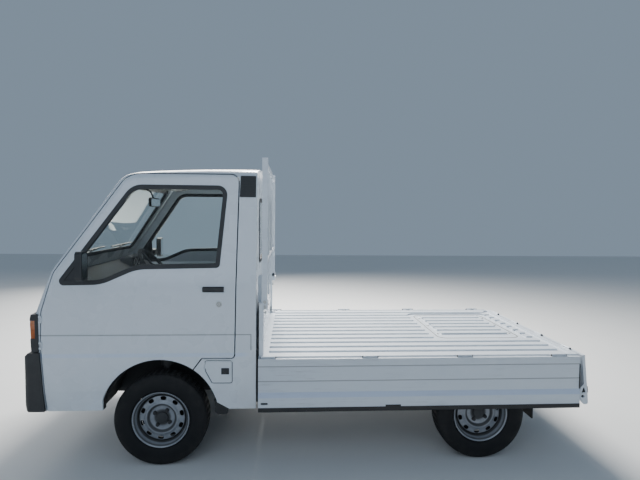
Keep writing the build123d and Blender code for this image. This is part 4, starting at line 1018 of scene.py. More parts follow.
@dataclass
class Seats:
    """Cushion and back for two: padded covers with sewn channels, in place of the plain solids."""

    paints: Paints
    middles: Pair = (-0.34, 0.34)
    cushion: Outline = ((1.000, 0.664), (1.026, 0.766), (0.568, 0.738), (0.562, 0.664))
    back: Outline = ((0.535, 0.666), (0.541, 0.752), (0.578, 0.800), (0.473, 1.288), (0.409, 1.288),
                     (0.459, 0.666))
    cushion_half: float = 0.224
    back_half: float = 0.204
    voxel: float = 0.010
    pressure: float = 4.0
    frames: int = 20
    swell: float = 0.012
    channels: tuple[float, ...] = (-0.115, 0.0, 0.115)
    channel_depth: float = 0.007
    channel_width: float = 0.008
    margin: float = 0.05
    end: float = 0.01
    roundness: float = 0.026

    def bake(self, piece: bpy.types.Object) -> None:
        """Apply the piece's modifiers.

        Args:
            piece: The pad.
        """
        graph = bpy.context.evaluated_depsgraph_get()
        mesh = bpy.data.meshes.new_from_object(piece.evaluated_get(graph))
        piece.modifiers.clear()
        piece.data = mesh

    def fill(self, piece: bpy.types.Object) -> None:
        """Blow the cover up a little, as foam does.

        Args:
            piece: The pad.
        """
        voxels = piece.modifiers.new("voxels", "REMESH")
        voxels.mode = "VOXEL"
        voxels.voxel_size = self.voxel
        self.bake(piece)
        start = [v.co.copy() for v in piece.data.vertices]
        cloth = piece.modifiers.new("filling", "CLOTH")
        cloth.settings.use_pressure = True
        cloth.settings.uniform_pressure_force = self.pressure
        cloth.settings.effector_weights.gravity = 0
        for number in range(1, self.frames + 1):
            bpy.context.scene.frame_set(number)
        self.bake(piece)
        bpy.context.scene.frame_set(1)
        for vertex, rest in zip(piece.data.vertices, start):
            move = vertex.co - rest
            if move.length > self.swell:
                vertex.co = rest + move.normalized() * self.swell
        finer = piece.modifiers.new("finer", "SUBSURF")
        finer.levels = finer.render_levels = 1
        self.bake(piece)

    def sew(self, piece: bpy.types.Object, middle: float, half: float) -> None:
        """Draw the cover in along its channels and round its border.

        Args:
            piece: The pad.
            middle: Middle of the seat across the truck.
            half: Half of the pad's width.
        """
        border = half - self.margin
        lines = [middle + channel for channel in (*self.channels, -border, border)]
        ways = [vertex.normal.copy() for vertex in piece.data.vertices]
        for vertex, way in zip(piece.data.vertices, ways):
            gap = min(abs(vertex.co.y - line) for line in lines)
            if abs(vertex.co.y - middle) < half - self.end:
                vertex.co -= way * self.channel_depth * math.exp(-(gap / self.channel_width) ** 2)

    def declare(self, piece: bpy.types.Object) -> None:
        """Shade a pad smooth and hide the plain seats.

        Args:
            piece: The pad.
        """
        piece.data.shade_smooth()
        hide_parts("seats")

    def pair(self, name: str, outline: Sequence[Pair], half: float) -> None:
        """Make one pad for each seat, filled once.

        Args:
            name: First part of the pieces' names.
            outline: (x, z) corners of the pad's side.
            half: Half of the pad's width.
        """
        first, second = self.middles
        shape = Shape()
        shape.plate(Axis.Y, first - half, outline, 2 * half)
        shape.eased(self.roundness, 4)
        piece = shape.finish(name + "_right", self.paints.cloth)
        self.fill(piece)
        self.sew(piece, first, half)
        twin = Shape()
        twin.bm.from_mesh(piece.data)
        bmesh.ops.translate(twin.bm, verts=twin.bm.verts[:], vec=(0, second - first, 0))
        self.declare(piece)
        self.declare(twin.finish(name + "_left", self.paints.cloth))

    def build(self) -> None:
        """Make both seats."""
        self.pair("seat_cushion", self.cushion, self.cushion_half)
        self.pair("seat_back", self.back, self.back_half)


@dataclass
class Cabin:
    """What shows through the glass: dash fittings, levers, pedals, mirror, visors, belts and mat."""

    paints: Paints
    driver: float = -0.345
    face_top: Pair = (1.265, 1.040)
    face_low: Pair = (1.290, 0.960)
    hood: Outline = ((1.402, 1.085), (1.402, 1.130), (1.335, 1.138), (1.312, 1.128), (1.318, 1.048))
    hood_half: float = 0.15
    glass: tuple[Pair, Pair] = ((1.3155, 1.121), (1.3185, 1.062))
    glass_half: float = 0.135
    gauge_y: tuple[float, ...] = (-0.075, 0.0, 0.075)
    gauge_spot: Pair = (1.3120, 1.092)
    gauge_radius: float = 0.027
    gauge_rim: Pair = (0.002, 0.003)
    radio_half: float = 0.115
    outlets: tuple[Pair, ...] = ((0.15, 0.25), (0.50, 0.60), (-0.60, -0.52))
    outlet_rim: float = 0.005
    slats: int = 4
    slat_top: float = 0.42
    slat_pitch: float = 0.115
    knob_y: tuple[float, ...] = (-0.085, -0.03, 0.03, 0.085)
    lid: tuple[Pair, Pair] = ((1.2990, 0.9470), (1.3720, 0.8740))
    lid_y: Pair = (0.20, 0.52)
    pedal: tuple[Pair, Pair] = ((1.408, 0.626), (1.388, 0.566))
    pedal_row: tuple[Pair, ...] = ((-0.25, 0.055), (-0.355, 0.055), (-0.465, 0.04))
    floor: float = 0.4423
    mat_low: Pair = (1.262, -0.605)
    mat_high: Pair = (1.470, 0.605)
    mat_ribs: int = 24
    rib_pitch: float = 0.05
    visor: tuple[Pair, Pair] = ((1.060, 1.628), (0.920, 1.658))
    visor_y: Pair = (-0.34, 0.34)
    visor_half: float = 0.20

    def on_face(self, y: float, share: float, out: float) -> Point:
        """Point on the dash's rear face.

        Args:
            y: Place across the truck.
            share: 0 at the face's top and 1 at its foot.
            out: Distance out from the face.

        Returns:
            The point.
        """
        run_x, run_z = self.face_low[0] - self.face_top[0], self.face_low[1] - self.face_top[1]
        length = math.hypot(run_x, run_z)
        return (self.face_top[0] + run_x * share + run_z / length * out, y,
                self.face_top[1] + run_z * share - run_x / length * out)

    def panel(self, shape: Shape, sides: Pair, top: float, foot: float, thick: float) -> None:
        """Plate on the dash's face, sunk a little into it.

        Args:
            shape: Shape to add to.
            sides: Lower and higher y.
            top: Share down the face of its upper edge.
            foot: Share down the face of its lower edge.
            thick: Thickness.
        """
        low_y, high_y = sides
        sunk = 0.002
        corners = [self.on_face(y, share, -sunk)
                   for y, share in ((low_y, top), (high_y, top), (high_y, foot), (low_y, foot))]
        shape.slab(corners, Vector(self.on_face(0, 0, thick + sunk)) - Vector(self.on_face(0, 0, 0)))

    def gauges(self) -> None:
        """Instrument hood with its glass and three gauge rims."""
        hood = Shape()
        hood.plate(Axis.Y, self.driver - self.hood_half, self.hood, 2 * self.hood_half)
        hood.eased(0.008, 3)
        hood.finish("instrument_hood", self.paints.dash)
        glass = Shape()
        sides = (self.driver - self.glass_half, self.driver + self.glass_half)
        glass.sheet(*self.glass, sides, (-0.004, 0, 0))
        glass.finish("gauge_glass", self.paints.gauge)
        rims = Shape()
        x, z = self.gauge_spot
        depth, width = self.gauge_rim
        outer, inner = z + self.gauge_radius, z + self.gauge_radius - width
        section = ((x, outer), (x - depth, outer), (x - depth, inner), (x, inner))
        for y in self.gauge_y:
            middle = Vector((x, self.driver + y, z))
            rims.spun(on_plane(Axis.Y, middle.y, section), middle, (1, 0, 0), 28)
        rims.finish("gauge_rims", self.paints.zinc, slot="dash_grey")

    def dash(self) -> None:
        """Radio panel, outlets with their slats and knobs, glove lid and grab bar."""
        dark, small = Shape(), Shape()
        self.panel(dark, (-self.radio_half, self.radio_half), 0.34, 0.88, 0.003)
        for low_y, high_y in self.outlets:
            self.panel(dark, (low_y, high_y), 0.36, 0.86, 0.0025)
            for row in range(self.slats):
                top = self.slat_top + row * self.slat_pitch
                self.panel(small, (low_y + self.outlet_rim, high_y - self.outlet_rim), top, top + 0.03, 0.006)
        dark.eased(0.001)
        dark.finish("radio_panel", self.paints.plastic)
        for y in self.knob_y:
            small.bar(self.on_face(y, 0.74, 0), self.on_face(y, 0.74, 0.014), 0.008, 16)
        small.finish("outlet_slats", self.paints.dash)
        lid = Shape()
        lid.sheet(*self.lid, self.lid_y, (-0.0045, 0, -0.0045))
        lid.eased(0.002)
        lid.finish("glove_lid", self.paints.dash)
        grab = Shape()
        grab.run([(1.275, 0.25, 1.030), (1.235, 0.255, 1.046), (1.235, 0.495, 1.046),
                  (1.275, 0.50, 1.030)], 0.009)
        grab.finish("grab_bar", self.paints.plastic)

    def controls(self) -> None:
        """Column cover and stalks, pedals, gear lever and handbrake."""
        column = Shape()
        column.bar((1.312, self.driver, 0.9285), (1.228, self.driver, 0.9960), 0.038, 24, 0.034)
        column.eased(0.004)
        for side in Side:
            column.bar((1.236, self.driver + side * 0.02, 0.990), (1.224, self.driver + side * 0.148, 1.012),
                       0.0055, 10, 0.008)
        column.finish("column_cover", self.paints.plastic)
        pedals = Shape()
        for y, width in self.pedal_row:
            pedals.bar((1.450, y, 0.850), (1.405, y, 0.600), 0.007, 10)
            pedals.sheet(*self.pedal, (y - width / 2, y + width / 2), (-0.010, 0, 0.004))
        pedals.finish("pedals", self.paints.rubber)
        levers = Shape()
        # Start, end, radius, sides and radius at the end
        for start, end, radius, sides, end_radius in (
                ((1.085, 0.0, 0.655), (1.092, 0.0, 0.720), 0.050, 24, 0.016),
                ((1.092, 0.0, 0.720), (1.120, -0.006, 0.900), 0.0065, 12, None),
                ((1.120, -0.006, 0.895), (1.128, -0.008, 0.950), 0.017, 20, 0.022),
                ((0.960, -0.055, 0.655), (0.880, -0.055, 0.745), 0.008, 12, None),
                ((0.880, -0.055, 0.745), (0.765, -0.055, 0.790), 0.014, 16, None)):
            levers.bar(start, end, radius, sides, end_radius)
        levers.finish("gear_and_brake_levers", self.paints.plastic)

    def mat(self) -> None:
        """Ribbed floor mat."""
        mat = Shape()
        thick, rib_half, rib = 0.004, 0.008, 0.0015
        mat.plate(Axis.Z, self.floor, rounded(self.mat_low, self.mat_high, 0.03), thick)
        top = self.floor + thick
        for row in range(self.mat_ribs):
            y = -0.575 + row * self.rib_pitch
            mat.brick((1.275, y - rib_half, top), (1.457, y + rib_half, top + rib))
        mat.finish("floor_mat", self.paints.rubber)

    def upper(self) -> None:
        """Interior mirror, sun visors and the belts on the rear pillars."""
        mirror = Shape()
        shell = on_plane(Axis.X, 1.085, rounded((-0.115, 1.500), (0.115, 1.562), 0.022))
        mirror.slab(shell, (0.018, 0, 0.003))
        mirror.eased(0.004, 2)
        mirror.run([(1.100, 0, 1.560), (1.118, 0, 1.604), (1.168, 0, 1.640)], 0.006)
        mirror.finish("inner_mirror", self.paints.plastic)
        pane = Shape()
        pane.plate(Axis.X, 1.0845, rounded((-0.107, 1.507), (0.107, 1.555), 0.018), -0.0012)
        pane.finish("inner_mirror_glass", self.paints.mirror)
        visors = Shape()
        for y in self.visor_y:
            sides = (y - self.visor_half, y + self.visor_half)
            visors.sheet(*self.visor, sides, (0.003, 0, 0.016))
        visors.eased(0.007, 3)
        visors.finish("sun_visors", self.paints.vinyl)
        belts, fittings = Shape(), Shape()
        for side in Side:
            top_y, foot_y = side * 0.5960, side * 0.6190
            belts.slab([(0.386, top_y, 1.455), (0.434, top_y, 1.455), (0.434, foot_y, 0.735),
                        (0.386, foot_y, 0.735)], (0, side * 0.0015, 0))
            # x, y and z ranges of the reel, the upper anchor and the buckle
            for low_x, high_x, low_y, high_y, low_z, high_z in (
                    (0.380, 0.440, 0.604, 0.627, 0.656, 0.740),
                    (0.378, 0.442, 0.588, 0.600, 1.445, 1.475),
                    (0.598, 0.632, 0.074, 0.096, 0.765, 0.815)):
                fittings.brick((low_x, side * low_y, low_z), (high_x, side * high_y, high_z))
            fittings.bar((0.590, side * 0.085, 0.656), (0.612, side * 0.085, 0.770), 0.006, 10)
        fittings.eased(0.003)
        belts.finish("belt_webbing", self.paints.webbing)
        fittings.finish("belt_fittings", self.paints.plastic)

    def build(self) -> None:
        """Fit out the cabin."""
        self.gauges()
        self.dash()
        self.controls()
        self.mat()
        self.upper()


@dataclass
class DoorDress:
    """Inner card, arm rest, winder, pull, lock and mirror glass of one door."""

    side: Side
    paints: Paints
    inside: float = 0.6296
    card: float = 0.003
    card_edge: Outline = ((0.505, 0.700), (1.235, 0.700), (1.395, 0.600), (1.465, 0.600), (1.465, 0.980),
                          (1.430, 1.020), (0.505, 1.020))
    arm_rest: Outline = ((0.60, 0.792), (0.99, 0.792), (1.02, 0.850), (0.60, 0.850))
    arm_rest_y: float = 0.594
    winder: Pair = (1.10, 0.80)
    winder_knob: Pair = (1.045, 0.745)
    pull: tuple[Pair, Pair] = ((1.20, 0.905), (1.29, 0.945))
    pull_lever: Outline = ((1.215, 0.918), (1.275, 0.918), (1.275, 0.932), (1.215, 0.932))
    lock_pin: Pair = (0.560, 0.634)
    mirror: tuple[Pair, Pair] = ((0.749, 1.099), (0.814, 1.237))
    mirror_face: float = 1.2498
    key: Pair = (0.549, 0.943)
    skin: float = 0.690
    # Distance out from the skin and radius of the lock's ring
    lock_ring: Outline = ((0.0002, 0.0112), (0.0002, 0.0165), (0.0016, 0.0162), (0.0030, 0.0146),
                          (0.0030, 0.0112))

    def at(self, x: float, y: float, z: float) -> Point:
        """Point on this door's side of the truck."""
        return (x, self.side * y, z)

    def put(self, shape: Shape, name: str, coat: Coat, slot: str | None = None) -> None:
        """Finish a piece that rides on this door, with its side in its name."""
        shape.finish(name + "_" + self.side.label, coat, "door_" + self.side.label, slot)

    def trim(self) -> None:
        """Door card with its arm rest, winder, pull and lock pin."""
        inner, side = self.inside - self.card, self.side
        card = Shape()
        card.plate(Axis.Y, side * inner, self.card_edge, side * self.card)
        card.eased(0.001, 1)
        card.plate(Axis.Y, side * self.arm_rest_y, self.arm_rest, side * (inner - self.arm_rest_y))
        self.put(card, "door_card", self.paints.vinyl)
        fittings = Shape()
        (x, z), (knob_x, knob_z) = self.winder, self.winder_knob
        fittings.stud(Axis.Y, self.winder, side * inner, side * 0.604, 0.017, 20, 0.013)
        fittings.bar(self.at(x, 0.606, z), self.at(knob_x, 0.602, knob_z), 0.0065, 10)
        fittings.stud(Axis.Y, self.winder_knob, side * 0.608, side * 0.585, 0.010, 16)
        fittings.plate(Axis.Y, side * (inner - 0.003), rounded(*self.pull, 0.012), side * 0.004)
        fittings.plate(Axis.Y, side * 0.611, self.pull_lever, side * 0.006)
        pin_x, pin_y = self.lock_pin
        fittings.bar(self.at(pin_x, pin_y, 1.020), self.at(pin_x, pin_y, 1.052), 0.004, 10)
        self.put(fittings, "door_handles", self.paints.plastic)

    def lock(self) -> None:
        """Key cylinder's ring and face, with a dark plate of painted shade for the key slot."""
        lock, slit = Shape(), Shape()
        key_x, key_z = self.key
        face, front = self.skin + 0.0021, self.skin + 0.0027
        lock.spun([self.at(key_x, self.skin + out, key_z + radius) for out, radius in self.lock_ring],
                  Vector(self.at(key_x, self.skin, key_z)), (0, 1, 0), 32)
        lock.stud(Axis.Y, self.key, self.side * face, self.side * front, 0.0095, 28)
        self.put(lock, "door_lock", self.paints.zinc, "black_plastic")
        # Dark plate stands in for the shade in the key slot
        slit.plate(Axis.Y, self.side * front, tile(self.key, (0.001, 0.0052), 0.0009, 2), self.side * 0.0003)
        self.put(slit, "key_slot", self.paints.rubber, "black_plastic")

    def build(self) -> None:
        """Make the door's fittings."""
        self.trim()
        self.lock()
        pane = Shape()
        outline = [(self.side * y, z) for y, z in rounded(*self.mirror, 0.016)]
        pane.plate(Axis.X, self.mirror_face, outline, -0.0014)
        self.put(pane, "mirror_glass", self.paints.mirror)


@dataclass
class Nose:
    """Wiper blades, lamp units and the bolts of the bumper."""

    paints: Paints
    pivots: Pair = (-0.09, 0.43)
    blade_reach: Pair = (0.075, 0.455)
    blade_rise: Pair = (1.212, 1.222)
    blade_wide: float = 0.006
    tail_panes: tuple[Pair, Pair] = ((0.590, 0.644), (0.476, 0.524))
    tail_face: tuple[Pair, Pair] = ((-1.5972, 0.4445), (-1.5945, 0.5355))
    plate_bolt_y: Pair = (-0.105, 0.105)
    side_bolt_z: Pair = (0.42, 0.60)

    def wipers(self) -> None:
        """Rubber blades with their carriers, lying on the windscreen."""
        blades, carriers = Shape(), Shape()
        inner_z, outer_z = self.blade_rise
        wide, sunk = self.blade_wide, -0.0095
        thick = Vector(screen_point(0, 1.2, 0.007)) - Vector(screen_point(0, 1.2, 0))
        for pivot in self.pivots:
            near, far = (pivot - reach for reach in self.blade_reach)
            hold = pivot - 0.30
            corners = ((near, inner_z), (near, inner_z + wide), (far, outer_z + wide), (far, outer_z))
            blades.slab([screen_point(y, z, sunk) for y, z in corners], thick)
            carriers.bar(screen_point(near - 0.02, 1.2155, 0.0005), screen_point(far + 0.02, 1.2245, 0.0005),
                         0.0035, 8)
            carriers.bar(screen_point(hold, 1.196, 0.0155), screen_point(hold, 1.221, 0.0015), 0.0045, 10)
        blades.finish("wiper_blades", self.paints.rubber)
        carriers.finish("wiper_carriers", self.paints.plastic)

    def lamp_unit(self, node: str, lens: Coat, outward: Callable[[Vector, Vector], bool], rim: float) -> None:
        """Lens set into a thin rim, in place of a plain lamp.

        Args:
            node: The plain lamp.
            lens: The lens's finish.
            outward: Picks the lens faces from their middle and normal.
            rim: Width of the rim.
        """
        shape = Shape()
        bm = shape.bm
        bm.from_mesh(frame["nodes"][node].data)
        bmesh.ops.remove_doubles(bm, verts=bm.verts[:], dist=1e-5)
        bmesh.ops.recalc_face_normals(bm, faces=bm.faces[:])
        bm.normal_update()
        front = [f for f in bm.faces if outward(f.calc_center_median(), f.normal)]
        shape.inset(front, rim, edges=True)
        shape.inset(front, 0.0006, -0.0022)
        glazed = set(front)
        for face in bm.faces:
            face.material_index = 0 if face in glazed else 1
        unit = shape.finish(node + "_unit", lens)
        unit.data.materials.append(self.paints.plastic.material)
        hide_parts(node)

    def lamps(self) -> None:
        """Head lamps, corner lamps and tail lamps."""
        self.lamp_unit("headlamps", self.paints.clear, lambda middle, way: way.x > 0.7, 0.005)
        self.lamp_unit("corner_lamps", self.paints.amber,
                       lambda middle, way: way.x * 0.7 + way.y * math.copysign(0.7, middle.y) > 0.45, 0.004)
        self.lamp_unit("tail_lamps", self.paints.red, lambda middle, way: way.x < -0.7, 0.004)
        lenses = (("tail_lamp_amber", self.paints.amber), ("tail_lamp_clear", self.paints.clear))
        (rear, foot), (front, top) = self.tail_face
        for (name, lens), (low, high) in zip(lenses, self.tail_panes):
            pane = Shape()
            for side in Side:
                pane.brick((rear, side * low, foot), (front, side * high, top))
            pane.finish(name, lens)

    def bolts(self) -> None:
        """Bolt heads in the plate's holes and under the bumper's ends."""
        shape = Shape()
        for y in self.plate_bolt_y:
            shape.stud(Axis.X, (y, 0.5), 1.622, 1.6395, 0.0033)
        for side in Side:
            for z in self.side_bolt_z:
                shape.stud(Axis.Y, (1.565, z), side * 0.6972, side * 0.6979, 0.007, 16)
        shape.finish("bumper_bolts", self.paints.plastic)

    def build(self) -> None:
        """Dress the nose and the tail's lamps."""
        self.wipers()
        self.lamps()
        self.bolts()


@dataclass
class Bed:
    """Hatch seal and fasteners, hinge pins, gate latches and strips, guard fittings, hooks and rear plate."""

    paints: Paints
    deck: float = 0.623
    hatch: tuple[Pair, Pair] = ((-1.440, -0.500), (-0.875, 0.235))
    hatch_corner: float = 0.060
    seal_gap: Pair = (0.0006, 0.0036)
    turn_inset: Pair = (0.024, 0.12)
    hinge_x: tuple[float, ...] = (0.270, -0.320, -0.880, -1.450)
    tail_hinge_y: tuple[float, ...] = (-0.520, -0.180, 0.180, 0.520)
    pin_half: float = 0.046
    gate_y: float = 0.698
    gate_z: float = 0.637
    finger_slot: Pair = (0.290, 0.375)
    latch_x: Pair = (0.262, -1.512)
    latch_z: float = 0.405
    bolt_z: Pair = (0.919, 0.948)
    bracket: tuple[Pair, Pair] = ((0.2775, 0.938), (0.3335, 1.100))
    bracket_slot: tuple[Pair, Pair] = ((0.2985, 0.975), (0.3125, 1.062))
    bracket_y: float = 0.6140
    stop: Pair = (0.585, 0.877)
    hook_x: tuple[float, ...] = (0.05, -0.12, -0.60, -1.10, -1.30)
    hook: Outline = ((0.664, 0.604), (0.681, 0.602), (0.682, 0.578), (0.690, 0.572))
    tail_x: float = -1.599
    tail_tilt: float = math.radians(6)
    tail_half: float = 0.690
    latch_void: Outline = ((-1.6120, 0.4040), (-1.5830, 0.4040), (-1.5968, 0.4380))
    latch_eye: Pair = (-1.586, 0.382)
    rear_edge: tuple[Pair, Pair] = ((-1.5900, 0.405), (-1.5780, 0.596))
    plate_x: float = -1.5902
    plate_spot: Pair = (0.0, 0.480)
    plate_half: Pair = (0.165, 0.077)
    plate_bolt_y: Pair = (-0.105, 0.105)

    def hatch_fittings(self) -> None:
        """Seal in the hatch's gap and turn fasteners at its border."""
        (low_x, low_y), (high_x, high_y) = self.hatch
        seal = Shape()
        inner, outer = (on_plane(Axis.Z, self.deck - 0.012, rounded(
            (low_x - gap, low_y - gap), (high_x + gap, high_y + gap), self.hatch_corner + gap, 8))
            for gap in self.seal_gap)
        seal.ring(outer, inner, (0, 0, 0.0138))
        seal.finish("hatch_seal", self.paints.seal)
        turns = Shape()
        inset_x, inset_y = self.turn_inset
        foot, top = self.deck - 0.001, self.deck + 0.003
        for x in (low_x + inset_x, high_x - inset_x):
            for y in (low_y + inset_y, (low_y + high_y) / 2, high_y - inset_y):
                turns.stud(Axis.Z, (x, y), foot, top, 0.012, 24, 0.0105)
                turns.brick((x - 0.008, y - 0.0014, top), (x + 0.008, y + 0.0014, top + 0.0015))
        turns.eased(0.0006, 1)
        turns.finish("hatch_fasteners", self.paints.zinc)

    def pins(self) -> None:
        """Pins with heads through the hinge knuckles."""
        shape = Shape()
        hinges = [(Axis.X, (side * self.gate_y, self.gate_z), x) for side in Side for x in self.hinge_x]
        hinges += [(Axis.Y, (self.tail_x, self.gate_z), y) for y in self.tail_hinge_y]
        for axis, spot, middle in hinges:
            shape.stud(axis, spot, middle - self.pin_half, middle + self.pin_half, 0.0038, 10)
            for end in (-0.047, 0.0445):
                shape.stud(axis, spot, middle + end, middle + end + 0.0025, 0.0062)
        shape.finish("hinge_pins", self.paints.chassis)

    def gate(self, side: Side) -> None:
        """Latches on the gate's outer face, its rubber strips, and a dark plate of painted shade in its
        finger slot.

        Args:
            side: Which gate.
        """
        body = "side_gate_" + side.label
        strip = Shape()
        strip.brick((-1.5745, side * 0.7159, 0.440), (-1.5690, side * 0.7190, 0.5885))
        strip.eased(0.0012)
        strip.brick((-0.500, side * 0.7215, 0.349), (-0.410, side * 0.7232, 0.362))
        # Dark plate stands in for the shade in the finger slot
        strip.plate(Axis.Y, side * 0.7132, tile(self.finger_slot, (0.0205, 0.006), 0.0059), side * 0.0010)
        strip.finish("gate_rubbers_" + side.label, self.paints.rubber, body)
        latch = Shape()
        for x in self.latch_x:
            latch.plate(Axis.Y, side * 0.6885, tile((x, self.latch_z), (0.028, 0.045), 0.010), side * 0.0097)
            latch.stud(Axis.Y, (x, self.latch_z - 0.030), side * 0.6885, side * 0.6815, 0.010, 20)
            latch.plate(Axis.Y, side * 0.6800, tile((x, self.latch_z), (0.010, 0.039), 0.009), side * 0.0045)
        latch.eased(0.0012, 1)
        latch.finish("gate_latches_" + side.label, self.paints.zinc, body, "bed_white")

    def guard(self) -> None:
        """Foot bolts, slotted bracket and stop knob of the guard frame."""
        bolts, bracket, knobs = Shape(), Shape(), Shape()
        outline, slot = rounded(*self.bracket, 0.012), rounded(*self.bracket_slot, 0.0069)
        for side in Side:
            for z in self.bolt_z:
                bolts.stud(Axis.Y, (0.293, z), side * 0.6485, side * 0.6515, 0.0105, 20)
                bolts.stud(Axis.Y, (0.293, z), side * 0.6515, side * 0.6565, 0.0078, 6)
            bolts.stud(Axis.X, (side * 0.630, 0.934), 0.2745, 0.2700, 0.0085, 6)
            bracket.ring(*(on_plane(Axis.Y, side * self.bracket_y, edge) for edge in (outline, slot)),
                         (0, side * -0.003, 0))
            spot = (side * self.stop[0], self.stop[1])
            knobs.stud(Axis.X, spot, 0.298, 0.286, 0.0075, 20, 0.0120)
            knobs.stud(Axis.X, spot, 0.313, 0.298, 0.0045)
        bolts.finish("guard_bolts", self.paints.zinc)
        bracket.eased(0.0007, 1)
        bracket.finish("guard_brackets", self.paints.bed)
        knobs.eased(0.002)
        knobs.finish("guard_stops", self.paints.pale)

    def hooks(self) -> None:
        """Rope hooks on the bed's side rails."""
        shape = Shape()
        for side in Side:
            for x in self.hook_x:
                shape.run([(x, side * y, z) for y, z in self.hook], 0.0042)
        shape.finish("rope_hooks", self.paints.chassis)

    def tail_ends(self) -> None:
        """Dark plates of painted shade behind the tailgate's latch openings, and pads on the rear panel's
        ends.
        """
        latch_shades, pads = Shape(), Shape()
        (low_x, low_z), (high_x, high_z) = self.rear_edge
        for side in Side:
            inner, outer = side * (self.tail_half - 0.0080), side * (self.tail_half - 0.0070)
            # Dark plates stand in for the shade in the latch's triangular opening and its eye
            latch_shades.plate(Axis.Y, inner, self.latch_void, outer - inner)
            latch_shades.stud(Axis.Y, self.latch_eye, inner, outer, 0.0085, 24)
            pads.brick((low_x, side * 0.6662, low_z), (high_x, side * 0.6680, high_z))
        bmesh.ops.rotate(latch_shades.bm, verts=latch_shades.bm.verts[:], cent=(self.tail_x, 0, self.gate_z),
                         matrix=Matrix.Rotation(self.tail_tilt, 3, "Y"))
        latch_shades.finish("latch_backs", self.paints.rubber, "tailgate")
        pads.finish("rear_panel_pads", self.paints.rubber)

    def rear_plate(self) -> None:
        """Blank plate and its bolts on the rear panel."""
        plate, rim = Shape(), Shape()
        seat = self.plate_x - 0.0014
        half_y, half_z = self.plate_half
        plate.plate(Axis.X, self.plate_x, tile(self.plate_spot, self.plate_half, 0.008), -0.0016)
        plate.finish("rear_plate", self.paints.pale, slot="body_white")
        # Inset of the rim's outer and inner edge from the plate's, and their corner radii
        outer, inner = (
            on_plane(Axis.X, seat, tile(self.plate_spot, (half_y - inset, half_z - inset), radius))
            for inset, radius in ((0.005, 0.007), (0.008, 0.005)))
        rim.ring(outer, inner, (-0.0012, 0, 0))
        for y in self.plate_bolt_y:
            rim.stud(Axis.X, (y, 0.532), seat, -1.5945, 0.0065, 6)
        rim.finish("rear_plate_rim", self.paints.zinc)

    def build(self) -> None:
        """Dress the load bed."""
        self.hatch_fittings()
        self.pins()
        for side in Side:
            self.gate(side)
        self.guard()
        self.hooks()
        self.tail_ends()
        self.rear_plate()


